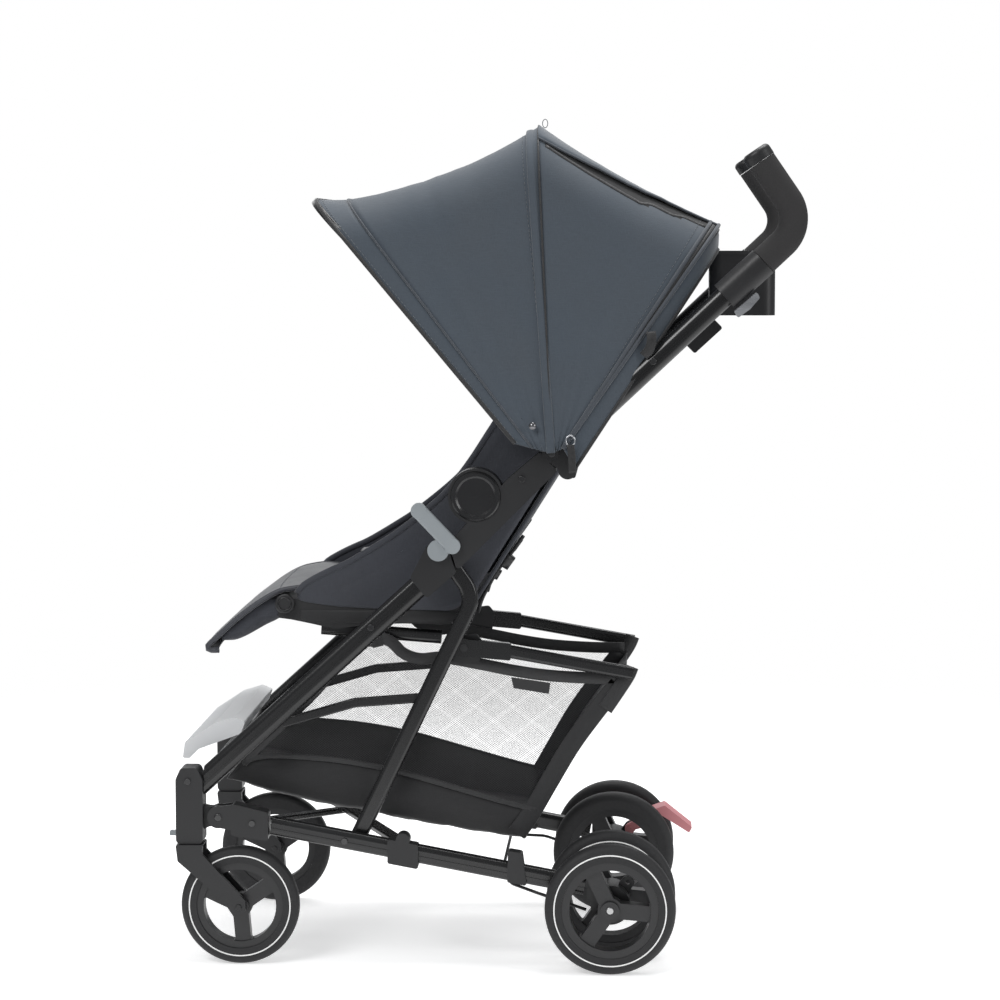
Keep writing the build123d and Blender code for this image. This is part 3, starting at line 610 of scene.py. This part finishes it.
def hoop_stitches(name, line, lift=0.2):
    out = outward_of(line)
    return stitches(name, line + out * lift, out)


hem_trims = [
    hoop_trim("canopy_hem_binding", HEM_EDGE, 0.0, tape_section(5.0, 3.4), BINDING),
    hoop_trim("canopy_hem_piping", HEM_SEAM, 0.3, round_section(1.3, 8), PIPING),
    hoop_stitches("canopy_hem_stitches", HEM_EDGE * 0.78 + HEM_SEAM * 0.22, 0.5),
]
middle_sleeve_line = front_grid[-1] * 0.35 + front_grid[-3] * 0.65
middle_trims = [
    hoop_trim("canopy_middle_sleeve", middle_sleeve_line, 0.2, round_section(5.5, 14, 0.42), HOOD),
    hoop_trim("canopy_middle_piping", MIDDLE_SEAM, 0.9, round_section(1.1, 8), BINDING),
    hoop_stitches("canopy_middle_stitches", front_grid[-4] * 0.6 + front_grid[-3] * 0.4, 0.4),
]
rear_lines = [rear_grid[-1] * w + rear_grid[-2] * (1 - w) for w in (1.0, 0.05)]
rear_trims = [
    hoop_trim("canopy_rear_piping_a", rear_lines[1], 1.0, round_section(2.6, 10), PIPING),
    hoop_trim("canopy_rear_piping_b", rear_lines[0], 1.0, round_section(2.6, 10), PIPING),
    hoop_trim("canopy_zip", rear_lines[0] * 0.5 + rear_lines[1] * 0.5, 0.6, tape_section(4.2, 1.6), TAPE),
    hoop_trim("canopy_valance_binding", VALANCE_EDGE, 0.0, tape_section(4.5, 2.8), BINDING),
    hoop_stitches("canopy_rear_stitches", rear_grid[-3], 0.4),
]

# Vent flap over the dark patch of painted shade, lifted a little along its free sides
FLAP_COLUMNS = 29
flap_points = np.zeros((REAR_ROWS, FLAP_COLUMNS, 3))
for i, row in enumerate(rear_grid):
    t = i / (REAR_ROWS - 1)
    centre = row[HOOP_COUNT // 2]
    half = 146 - 34 * t
    radial = np.array([centre[0] - CANOPY_PIVOT[0], 0, centre[2] - CANOPY_PIVOT[1]])
    radial /= norm(radial)
    for j in range(FLAP_COLUMNS):
        y = half * (2 * j / (FLAP_COLUMNS - 1) - 1)
        x, z = (np.interp(y, row[:, 1], row[:, k]) for k in (0, 2))
        edge = abs(y) / half
        lift = 2.6 + 3.5 * edge**3 * sin(pi * t) + 0.8 * ripple_at(t * 5, y / 40, 6.0)
        flap_points[i, j] = (x, y, z) + radial * lift
flap, flap_flat = sheet_grid("canopy_vent_flap", flap_points, 1.4, HOOD, HOOD_INSIDE)
# Bindings along the sides of the painted-shade patch, then along the flap's free sides
flap_and_shade_edges = []
for side, columns in (("left", range(HOOP_COUNT // 2)),
        ("right", range(HOOP_COUNT - 1, HOOP_COUNT // 2, -1))):
    edge_line = []
    for i in range(1, REAR_ROWS - 1):
        j = next((j for j in columns if in_flap_shade(i, j)), None)
        if j is not None:
            edge_line.append(rear_grid[i, j])
    edge_line = evenly(np.array(edge_line), 40)
    flap_and_shade_edges.append(sweep(f"canopy_shade_patch_binding_{side}", edge_line, None,
        (0, SIDES[side] * 0.7, 0.7), tape_section(5.0, 2.2), BINDING))
for side, column in (("left", 0), ("right", FLAP_COLUMNS - 1)):
    flap_and_shade_edges.append(sweep(f"canopy_flap_binding_{side}", flap_points[:, column] - (0, 0, 0.8), None,
        (0, 0, 1), tape_section(4.5, 3.0), PIPING))

# Small things on the canopy
canopy_extras = []
for tag, side in SIDES.items():
    canopy_extras.append(sweep(f"canopy_press_stud_{tag}",
        [(60, side * 231, 690), (60, side * 233.6, 690)], None, (1, 0, 0), round_section(4.6, 20), STUD))
    canopy_extras.append(wire_ring(f"canopy_zip_ring_{tag}", (107, side * 231.5, 672), 5.5, 6.5, 1.0, 8,
        24, MATERIALS["silver"]))
    pull = smooth_line([(107, side * 231.5, 667), (108.5, side * 232.5, 655), (109.5, side * 232, 640),
        (110, side * 231, 632)], 14)
    canopy_extras.append(sweep(f"canopy_zip_pull_{tag}", pull, (1, 0, 0), None, tape_section(9.5, 2.4),
        TAPE))
    tie = smooth_line([(206, side * 204, 806), (207, side * 206.5, 796), (204, side * 204.5, 784),
        (197, side * 202, 776)], 12)
    canopy_extras.append(sweep(f"canopy_tube_tie_{tag}", tie, (1, 0, 0), None, tape_section(12.0, 1.8),
        TAPE))
canopy_extras.append(wire_ring("canopy_cord_loop", (68, -20, 1070), 3.4, 5.5, 0.5, 6, 20, STITCH))

# Rear panel from the rear bow to the top of the backrest
panel_rows, panel_columns = 14, 25
rear_panel_points = np.zeros((panel_rows, panel_columns, 3))
for i in range(panel_rows):
    t = i / (panel_rows - 1)
    for j in range(panel_columns):
        w = 2 * j / (panel_columns - 1) - 1
        half = 138 - 14 * t
        sag = 10 * sin(pi * t) * (1 - 0.3 * w * w)
        wrinkle = 2.0 * ripple_at(w * 3, t * 2, 4.0) * sin(pi * t)
        rear_panel_points[i, j] = (286 - 58 * t + sag + wrinkle, w * half, 930 - 96 * t - sag * 0.4)
rear_panel, rear_panel_flat = sheet_grid("canopy_rear_panel", rear_panel_points, CLOTH_MM, HOOD,
    HOOD_INSIDE)

for piece in (hem_band, *hem_trims):
    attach(piece, "hood_front")
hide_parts("canopy_front_gore")
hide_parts("canopy_rear_gore")


def fan_blend(piece):
    """Bakes a gore's transform into its mesh."""
    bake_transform(piece)


fan_blend(front_cloth)
for piece in middle_trims:
    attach(piece, "hood_middle")
for piece in (rear_cloth, *flap_and_shade_edges, flap):
    fan_blend(piece)
for piece in (valance, *rear_trims, *canopy_extras):
    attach(piece, "hood_middle" if piece.name == "canopy_cord_loop" else "frame")
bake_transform(rear_panel)


# ---- Seat ------------------------------------------------------------------------------------

PANEL_TOP = [(-244, 470), (-236, 480), (-220, 490), (-200, 500), (-176, 511), (-136, 535), (-112, 551),
    (-73, 582), (-48, 606), (-22, 640), (4, 680), (38, 732), (84, 792), (142, 838), (190, 848),
    (213, 838)]
PANEL_LOW = [(-243, 462), (-234, 459), (-215, 456), (-189, 453), (-150, 451), (-112, 450), (-70, 449),
    (-44, 450), (-24, 464), (-8, 486), (14, 522), (48, 576), (88, 640), (128, 704), (168, 768),
    (210, 834)]
PANEL_COLUMNS, PANEL_ROWS = 90, 18
PANEL_SEAM = 26  # mm from the rolled upper edge to the seam
for tag, side in SIDES.items():
    top_line, low_line = smooth_line(PANEL_TOP, PANEL_COLUMNS), smooth_line(PANEL_LOW, PANEL_COLUMNS)
    layers = []
    for face in (1, -1):
        layer = np.zeros((PANEL_COLUMNS, PANEL_ROWS, 3))
        for i in range(PANEL_COLUMNS):
            u = i / (PANEL_COLUMNS - 1)
            for j in range(PANEL_ROWS):
                v = j / (PANEL_ROWS - 1)
                x, z = low_line[i] * (1 - v) + top_line[i] * v
                height = hypot(*(top_line[i] - low_line[i]))
                from_top = (1 - v) * height
                puff = (sin(pi * min(1, v * 1.02)) ** 0.6 if 0 < v < 1 else 0) * min(1,
                    height / 40) * sin(pi * u) ** 0.3
                seam = exp(-((from_top - PANEL_SEAM) / 4.0) ** 2) * (0 if height < 50 else 1)
                ripple = ripple_at(x / 60, z / 45, side * 3.0) + 0.5 * ripple_at(x / 22, z / 30,
                    side * 7.0)
                thick = 1.0 + 2.4 * puff - 1.5 * seam + 0.9 * puff * ripple * (1 if face == 1 else 0.5)
                bow = 0.9 * sin(pi * v)
                layer[i, j] = (x, side * (PANEL_Y - 0.6 + bow + face * thick), z)
        layers.append(layer)
    outer, inner = layers
    faces = sum(shell_faces(PANEL_COLUMNS, PANEL_ROWS), [])
    panel = mesh_object(f"seat_side_{tag}", np.concatenate([outer.reshape(-1, 3), inner.reshape(-1, 3)]),
        faces, SEAT)
    edge_3d = np.array([(x, side * (PANEL_Y - 0.4), z) for x, z in top_line])
    binding = sweep(f"seat_side_binding_{tag}", edge_3d, None, (0, side, 0), round_section(4.2, 12, 0.9),
        SEAT)
    seam_line = np.array([top_line[i] + (low_line[i] - top_line[i]) * PANEL_SEAM
        / hypot(*(top_line[i] - low_line[i])) for i in range(8, 62)])
    seam_3d = np.array([(x, side * (PANEL_Y + 1.2), z) for x, z in seam_line])
    seam_thread = stitches(f"seat_side_stitches_{tag}", seam_3d + (0, 0, 3.0),
        np.tile((0, side, 0), (len(seam_3d), 1)))
    for piece in (panel, binding, seam_thread):
        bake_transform(piece)
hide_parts("side_panels")

# Seat base sling and pad
base_outline = [(-240, 436), (-241, 450), (-60, 449), (-28, 448), (-24, 442), (-34, 434), (-120, 431),
    (-228, 431)]
base = slab("seat_base_sling", base_outline, 146.6, BASKET)
rounded(base, 3.5)
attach(base, "frame")
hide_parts("seat_base")

SKIRT = [(-268, 438), (-269, 452), (-262, 462), (-240, 463), (-214, 458), (-150, 453), (-44, 452),
    (-22, 462), (-14, 452), (-26, 436), (-60, 431), (-137, 432), (-195, 424), (-227, 431), (-252, 436)]
for tag, side in SIDES.items():
    skirt = slab(f"seat_skirt_{tag}", SKIRT, side * 142.6, BASKET, side * 144.8)
    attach(skirt, "frame")

seat_pad = puffed(slab("seat_pad", [(-234, 456), (-234, 474), (-222, 476), (-40, 468), (-30, 455)], 130.0,
    PAD_CLOTH), 5.0, 9.0)
dent(seat_pad, [lambda p: p[0] + 95, lambda p: p[0] + 165, lambda p: abs(p[1]) - 92], 5.0, 6.0, (0, 0, 1))
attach(seat_pad, "frame")


def on_back(run, rise):
    return tuple(p + run * u + rise * f for p, u, f in zip(BACK_PIVOT, BACK_UP, BACK_FRONT))


def back_run(p):
    return (p[0] - BACK_PIVOT[0]) * BACK_UP[0] + (p[2] - BACK_PIVOT[1]) * BACK_UP[1]


BACK_FACING = (BACK_FRONT[0], 0.0, BACK_FRONT[1])
back_pad = puffed(slab("backrest_pad", [on_back(8, 0), on_back(8, 15), on_back(422, 15), on_back(422, 0)],
    131.0, PAD_CLOTH), 5.5, 8.0)
dent(back_pad, [lambda p: back_run(p) - 105, lambda p: back_run(p) - 205, lambda p: back_run(p) - 300,
    lambda p: abs(p[1]) - 88], 5.0, 6.0, BACK_FACING)
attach(back_pad, "back")
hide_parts("backrest")
back_board = slab("backrest_board", [on_back(-26, -5), on_back(-26, 0.5), on_back(430, 0.5),
    on_back(430, -5)], 145.4, SEAT)
rounded(back_board, 2.2)
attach(back_board, "back")
head_pad = puffed(slab("head_pad", [on_back(318, 18), on_back(318, 27), on_back(402, 27),
    on_back(402, 18)], 100.0, PAD_CLOTH), 5.0, 7.0)
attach(head_pad, "back")

# Calf rest and the cloth that runs over the knee
CALF = [(-262, 446), (-262, 461), (-280, 462), (-298, 451), (-322, 432), (-340, 416), (-350, 406),
    (-345, 405), (-334, 407), (-314, 416), (-290, 430), (-270, 439)]
calf_pad = puffed(slab("calf_pad", CALF, 139.0, SEAT), 5.0, 5.0)
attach(calf_pad, "calf_board")
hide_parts("calf_rest")
KNEE = [(-196, 472), (-212, 479), (-234, 482), (-254, 480), (-272, 475), (-295, 462), (-320, 443),
    (-338, 427), (-350, 416), (-361, 405), (-358, 400), (-346, 400)]
knee_line = smooth_line(KNEE, 44)
knee_points = np.zeros((44, 41, 3))
for i, (x, z) in enumerate(knee_line):
    u = i / 43
    for j in range(41):
        w = 2 * j / 40 - 1
        ripple = ripple_at(w * 4, u * 5, 2.0) * 1.5 * sin(pi * u)
        crown = -2.5 * abs(w) ** 6 + 1.2 * (1 - w * w)
        knee_points[i, j] = (x - crown * 0.3, w * 143.5, z + crown + ripple * 0.6)
knee, knee_flat = sheet_grid("seat_knee_cloth", knee_points, 1.6, KNEE_CLOTH, KNEE_CLOTH, flip=True)
knee_edges = []
for tag, side in SIDES.items():
    line = knee_points[:, 0 if side < 0 else 40]
    knee_edges.append(sweep(f"seat_knee_roll_{tag}", line - (0, side * 1.5, 2.0), None, (0, side, 0),
        round_section(3.6, 10), KNEE_CLOTH))
seam_row = knee_points[15]
knee_edges.append(stitches("seat_knee_stitches", seam_row + (0, 0, 0.5),
    np.tile((-0.4, 0, 0.9), (41, 1))))
for piece in (knee, *knee_edges):
    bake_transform(piece)
for tag, side in SIDES.items():
    button_ring = wire_ring(f"calf_button_ring_{tag}", (-259, side * 155.8, 457), 8.2, 8.2, 1.1, 8, 32,
        MATERIALS["gloss_black"])
    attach(button_ring, "calf_board")

# Harness and recline straps
buckle_low, buckle_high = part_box("harness_buckle")
buckle = ((buckle_low + buckle_high) / 2) / MM
harness = []
for tag, side in SIDES.items():
    shoulder = smooth_line([(on_back(292, 24)[0], side * 48, on_back(292, 24)[1]),
        (on_back(220, 30)[0], side * 50, on_back(220, 30)[1]),
        (on_back(130, 38)[0], side * 42, on_back(130, 38)[1]),
        (on_back(60, 44)[0] - 12, side * 26, on_back(60, 44)[1]),
        (buckle[0] + 6, side * 12, buckle[2] + 8)], 40)
    facing = (-0.75, 0, 0.66)
    strap = sweep(f"harness_shoulder_{tag}", shoulder, None, facing, tape_section(24.0, 1.8), TAPE)
    cover = sweep(f"harness_pad_{tag}", shoulder[2:20] + np.array(facing) * 2.5, None, facing,
        tape_section(46.0, 10.0), PAD_CLOTH)
    lap = smooth_line([(-14, side * 128, 486), (-42, side * 105, 492), (-66, side * 64, 497),
        (buckle[0] + 2, side * 16, buckle[2])], 30)
    lap_strap = sweep(f"harness_lap_{tag}", lap, None, (-0.2, 0, 0.98), tape_section(24.0, 1.8), TAPE)
    harness += [strap, cover, lap_strap]
    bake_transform(strap)
    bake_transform(cover)
    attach(lap_strap, "frame")
    recline = smooth_line([(44, side * 118, 542), (30, side * 118, 522), (12, side * 119, 499),
        (0, side * 120, 478), (-9, side * 120, 460), (-14, side * 121, 444)], 26)
    recline_strap = sweep(f"recline_strap_{tag}", recline, (0, 1, 0), None, tape_section(22.0, 4.5), TAPE)
    slide = smooth_line([(27, side * 118, 518), (17, side * 118, 504)], 4)
    recline_slide = sweep(f"recline_slide_{tag}", slide, (0, 1, 0), None, tape_section(29.0, 17.0),
        MATERIALS["plastic"])
    frame_bar = smooth_line([(12, side * 118, 499), (6, side * 118, 489)], 4)
    recline_frame = sweep(f"recline_buckle_{tag}", frame_bar, (0, 1, 0), None, tape_section(27.0, 11.0),
        MATERIALS["plastic"])
    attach(recline_frame, "back")
    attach(recline_strap, "back")
    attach(recline_slide, "back")
crotch = smooth_line([(buckle[0] - 2, 0, buckle[2] - 6), (buckle[0] - 14, 0, buckle[2] - 14),
    (buckle[0] - 24, 0, 484)], 14)
crotch_strap = sweep("harness_crotch", crotch, (0, 1, 0), None, tape_section(26.0, 1.8), TAPE)
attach(crotch_strap, "frame")


# ---- Basket ----------------------------------------------------------------------------------

NET_LOW = [(-316, 250), (-296, 258), (-262, 260), (-203, 256), (-160, 250), (-119, 242), (-78, 231),
    (-36, 219), (14, 205), (62, 193)]
RIM = [(-316, 248), (-292, 272), (-252, 310), (-213, 350), (-192, 382), (-170, 402), (-146, 411),
    (-124, 405), (-108, 390), (-86, 383), (-58, 385), (-10, 377), (32, 369), (76, 363), (130, 360),
    (172, 360)]
REAR_EDGE = [(176, 356), (146, 318), (116, 276), (88, 228), (64, 186), (47, 162)]
FLOOR = [(-338, 226), (-293, 212), (-241, 199), (-158, 184), (-74, 168), (46, 151)]
BASKET_Y, TUB_LIMIT = 146.5, 149.0

tub_columns, tub_rows = 60, 45
low_line, floor_line = smooth_line(NET_LOW, tub_columns), smooth_line(FLOOR, tub_columns)
tub_points = np.zeros((tub_columns, tub_rows, 3))
corner = 30.0
for i in range(tub_columns):
    (lx, lz), (fx, fz) = low_line[i], floor_line[i]
    section = []
    drop = hypot(lx - fx, lz - fz)
    profile = [(-BASKET_Y, 1.0), (-BASKET_Y - 0.5, 0.7), (-BASKET_Y + 0.5, 0.35), (-BASKET_Y + 7, 0.12),
        (-BASKET_Y + corner, 0.0), (-80, -0.03), (0, -0.05)]
    profile += [(-y, share) for y, share in reversed(profile[:-1])]
    line = smooth_line(profile, tub_rows)
    for j, (y, share) in enumerate(line):
        u = i / (tub_columns - 1)
        x, z = fx + (lx - fx) * share, fz + (lz - fz) * share
        wave = ripple_at(x / 34, y / 60, z / 34) * 2.6 + ripple_at(x / 12, y / 30, z / 40) * 1.2
        crease = 2.2 * ripple_at(x / 9 + z / 14, 1.0, y / 80)
        wall = min(1.0, max(0.0, share * 3)) * (1 if share < 0.97 else 0)
        y_out = (1 if y > 0 else -1) * wall * (wave + crease) * 0.7
        tub_points[i, j] = (x, max(-TUB_LIMIT, min(TUB_LIMIT, y + y_out)),
            z + (0 if share > 0.3 else wave * 0.8))
tub, tub_flat = sheet_grid("basket_tub", tub_points, CLOTH_MM, BASKET, BASKET, flip=True)
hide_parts("basket")
basket_pieces = [tub]

# Front and rear ends of the tub
for end_name, index in (("front", 0), ("rear", -1)):
    outline = tub_points[index]
    middle = (outline[0] + outline[-1]) / 2
    ring_points = [outline * (1 - k / 6) + middle * (k / 6) for k in range(7)]
    bulge = -1 if end_name == "front" else 1
    end_points = np.array([[p + np.array([bulge * 7 * sin(pi * k / 12), 0,
        0]) for p in ring_points[k]] for k in range(7)])
    end_points[:, :, 2] = np.maximum(end_points[:, :, 2], 148)
    end_piece, end_flat = sheet_grid(f"basket_{end_name}_end", end_points, CLOTH_MM, BASKET, BASKET,
        flip=end_name == "front")
    basket_pieces.append(end_piece)

# Rear wall between the rear corners
rear_line = smooth_line(REAR_EDGE, 24)
rear_points = np.array([[(x + 4 * (1 - w ** 2) * sin(pi * i / 23), w * BASKET_Y,
    z) for w in np.linspace(-1, 1, 25)] for i, (x, z) in enumerate(rear_line)])
rear_wall, rear_wall_flat = sheet_grid("basket_rear_wall", rear_points, CLOTH_MM, BASKET, BASKET)
basket_pieces.append(rear_wall)

NET_PITCH, NET_WIDTH = 2.3, 0.24


def clipped(polygon, origin, direction):
    """Stretches of a straight line that lie inside a polygon, as pairs of distances."""
    hits = []
    dx, dz = direction
    for (ax, az), (bx, bz) in zip(polygon, np.roll(polygon, -1, axis=0)):
        ex, ez = bx - ax, bz - az
        cross = dx * ez - dz * ex
        if abs(cross) < 1e-9:
            continue
        s = ((ax - origin[0]) * ez - (az - origin[1]) * ex) / cross
        t = ((ax - origin[0]) * dz - (az - origin[1]) * dx) / cross
        if 0 <= t < 1:
            hits.append(s)
    hits.sort()
    return list(zip(hits[::2], hits[1::2]))


def net_panel(name, polygon, y, pitch=NET_PITCH, width=NET_WIDTH):
    """Knotted net of flat strands in the plane at this Y."""
    polygon = np.array(polygon, float)
    points, faces = [], []
    for angle in (38, 142):
        dx, dz = cos(radians(angle)), sin(radians(angle))
        nx, nz = -dz, dx
        reach = polygon @ np.array([nx, nz])
        offset = reach.min() + pitch / 2
        while offset < reach.max():
            for a, b in clipped(polygon, (nx * offset, nz * offset), (dx, dz)):
                base = len(points)
                for s in (a, b):
                    for w in (-width / 2, width / 2):
                        points.append((nx * (offset + w) + dx * s, y + (0.12 if angle < 90 else -0.12),
                            nz * (offset + w) + dz * s))
                faces.append((base, base + 1, base + 3, base + 2))
            offset += pitch
    return mesh_object(name, points, faces, NET, smooth=False)


rim_line, net_low = smooth_line(RIM, 70), smooth_line(NET_LOW, 40)
rear_inner = [(x - 12, z) for x, z in smooth_line(REAR_EDGE, 12)]
for tag, side in SIDES.items():
    polygon = [*map(tuple, net_low), *[p for p in reversed(rear_inner) if p[1] > 197],
        *map(tuple, rim_line[::-1])]
    net = net_panel(f"basket_net_{tag}", polygon, side * BASKET_Y)
    rim_3d = np.array([(x, side * BASKET_Y, z) for x, z in rim_line])
    rim_tape = sweep(f"basket_rim_{tag}", rim_3d + (0, 0, 3.5), None, (0, side, 0),
        tape_section(15.0, 3.2), BINDING)
    low_3d = np.array([(x, side * (BASKET_Y + 0.4), z) for x, z in net_low])
    low_tape = sweep(f"basket_seam_{tag}", low_3d, None, (0, side, 0), tape_section(7.0, 2.6), BINDING)
    rear_3d = np.array([(x - 10, side * (BASKET_Y + 0.2), z) for x, z in smooth_line(REAR_EDGE, 30)])
    rear_tape = sweep(f"basket_rear_band_{tag}", rear_3d, None, (0, side, 0), tape_section(24.0, 2.8),
        BASKET)
    hanger = smooth_line([(183, side * 149.5, 379), (178, side * 149.5, 367), (166, side * 149, 348),
        (150, side * 148.6, 324)], 20)
    hang_loop = sweep(f"basket_rear_hanger_{tag}", hanger, None, (0, side, 0), tape_section(19.0, 2.4),
        TAPE)
    strap_line = smooth_line([(-140, side * 148.6, 402), (-143, side * 149.2, 414),
        (-146, side * 149.5, 424), (-149, side * 148.6, 414), (-150, side * 148, 402)], 20)
    front_loop = sweep(f"basket_front_loop_{tag}", strap_line, None, (0, side, 0),
        tape_section(14.0, 1.8), TAPE)
    basket_pieces += [net, rim_tape, low_tape, rear_tape, hang_loop, front_loop]
tab = mesh_object("basket_blank_tab", [(30, -149.2, 364), (80, -149.2, 357), (78, -149.2, 343),
    (33, -149.2, 350), (30, -147.6, 364), (80, -147.6, 357), (78, -147.6, 343), (33, -147.6, 350)],
    [(0, 1, 2, 3), (7, 6, 5, 4), (0, 4, 5, 1), (1, 5, 6, 2), (2, 6, 7, 3), (3, 7, 4, 0)], TAB_BLACK,
    smooth=False)
basket_pieces.append(tab)

for piece in basket_pieces:
    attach(piece, "lower_frame")
    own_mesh(piece)


# ---- Wheels ----------------------------------------------------------------------------------

RING_SHARE = 0.853


def sidewall_ring(name, node_name, centre, radius, side_out, low_y, high_y):
    """Thin pale ring printed on a tyre's outer sidewall."""
    values = coordinates(NODES[node_name].data) / MM
    r = np.hypot(values[:, 0] - centre[0], values[:, 2] - centre[1])
    target = radius * RING_SHARE
    near = values[(abs(r - target) < 3.0) & (values[:, 1] > low_y) & (values[:, 1] < high_y)]
    if len(near) == 0:
        near = values[(abs(r - target) < 9.0) & (values[:, 1] > low_y) & (values[:, 1] < high_y)]
    y = (near[:, 1].max() if side_out > 0 else near[:, 1].min()) + side_out * 0.25
    points, steps = [], 96
    for k in range(steps):
        a = 2 * pi * k / steps
        for rr, dy in ((target - 0.9, -side_out * 0.8), (target - 0.8, 0), (target + 0.8, 0),
                (target + 0.9, -side_out * 0.8)):
            points.append((centre[0] + rr * cos(a), y + dy, centre[1] + rr * sin(a)))
    faces = [(k * 4 + j, ((k + 1) % steps) * 4 + j, ((k + 1) % steps) * 4 + j + 1,
        k * 4 + j + 1) for k in range(steps) for j in range(3)]
    return mesh_object(name, points, faces, RING_WHITE)


for tag, side in SIDES.items():
    for place, (low_y, high_y) in {"outer": (211, 240), "inner": (121, 150)}.items():
        low, high = (low_y, high_y) if side > 0 else (-high_y, -low_y)
        ring = sidewall_ring(f"rear_ring_{place}_{tag}", f"rear_tyres_{tag}", (158.0, 82.5), 82.5, side,
            low, high)
        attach(ring, f"rear_wheels_{tag}")
    ring = sidewall_ring(f"front_ring_{tag}", f"front_tyre_{tag}", (-313.5, 75.5), 75.5, side,
        *((170, 205) if side > 0 else (-205, -170)))
    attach(ring, f"front_wheel_{tag}")


# ---- Stage, light and camera -----------------------------------------------------------------

WORLD_STRENGTH, FLOOR_HALF = 0.3, 6000.0
FLOOR_GLOW, FADE_FROM, FADE_TO = 0.5, 0.9, 2.4
paper = Surface("floor_paper", 0.95, Emission_Color=(1, 1, 1, 1), Emission_Strength=FLOOR_GLOW)
paper.tones(paper.grain(3.0, 2.0), (0.3, (0.88, 0.88, 0.88)), (0.7, (0.91, 0.91, 0.91)))
radius = paper.add("ShaderNodeVectorMath", operation="LENGTH")
fade = paper.add("ShaderNodeMapRange", interpolation_type="SMOOTHSTEP")
for socket, value in {"From Min": FADE_FROM, "From Max": FADE_TO, "To Min": 1.0, "To Max": 0.0}.items():
    fade.inputs[socket].default_value = value
paper.link(paper.place, radius.inputs[0])
paper.link(radius.outputs["Value"], fade.inputs["Value"])
paper.link(fade.outputs["Result"], paper.shader.inputs["Alpha"])
paper.material.cycles.emission_sampling = "NONE"
corners = [(x * FLOOR_HALF, y * FLOOR_HALF, -0.4) for x, y in ((-1, -1), (1, -1), (1, 1), (-1, 1))]
floor = mesh_object("studio_floor", corners, [(0, 1, 2, 3)], paper.material)

world = bpy.data.worlds.new("studio")
bpy.context.scene.world = world
world.use_nodes = True
sky = world.node_tree.nodes["Background"]
sky.inputs["Color"].default_value = (0.95, 0.97, 1, 1)
sky.inputs["Strength"].default_value = WORLD_STRENGTH
backdrop = world.node_tree.nodes.new("ShaderNodeBackground")
backdrop.inputs["Color"].default_value = (1, 1, 1, 1)
choose = world.node_tree.nodes.new("ShaderNodeMixShader")
rays = world.node_tree.nodes.new("ShaderNodeLightPath")
world.node_tree.links.new(rays.outputs["Is Camera Ray"], choose.inputs[0])
world.node_tree.links.new(sky.outputs[0], choose.inputs[1])
world.node_tree.links.new(backdrop.outputs[0], choose.inputs[2])
world.node_tree.links.new(choose.outputs[0], world.node_tree.nodes["World Output"].inputs["Surface"])


def softbox(name, place, aim, size, power):
    data = bpy.data.lights.new(name, "AREA")
    data.shape, data.size, data.size_y, data.energy = "RECTANGLE", size[0], size[1], power
    lamp = bpy.data.objects.new(name, data)
    lamp.location = place
    lamp.rotation_mode = "QUATERNION"
    lamp.rotation_quaternion = (Vector(aim) - Vector(place)).to_track_quat("-Z", "Y")
    lamp.visible_camera = False
    bpy.context.scene.collection.objects.link(lamp)


softbox("key", (-1.6, -2.3, 2.6), (0, 0, 0.5), (1.5, 1.2), 48)
softbox("top", (0.3, 0.4, 3.0), (0, 0, 0.5), (1.8, 1.8), 60)
softbox("fill", (2.5, -1.4, 1.5), (0, 0, 0.5), (0.9, 1.6), 20)
softbox("back", (-0.4, 2.6, 1.5), (0, 0, 0.5), (3.2, 1.4), 16)

AZIMUTH, ELEVATION, DISTANCE = radians(2.8), radians(4.9), 4.02
SENSOR_MM, FOCAL_MM = 36.0, 109.8
target = Vector((0.0084, 0.0, 0.578))
back = Vector((sin(AZIMUTH) * cos(ELEVATION), -cos(AZIMUTH) * cos(ELEVATION), sin(ELEVATION)))
lens = bpy.data.cameras.new("camera")
lens.sensor_width, lens.lens = SENSOR_MM, FOCAL_MM
camera = bpy.data.objects.new("camera", lens)
camera.location = target + back * DISTANCE
camera.rotation_mode = "QUATERNION"
camera.rotation_quaternion = (-back).to_track_quat("-Z", "Y")
bpy.context.scene.collection.objects.link(camera)
bpy.context.scene.camera = camera
bpy.context.scene.view_settings.view_transform = "Standard"
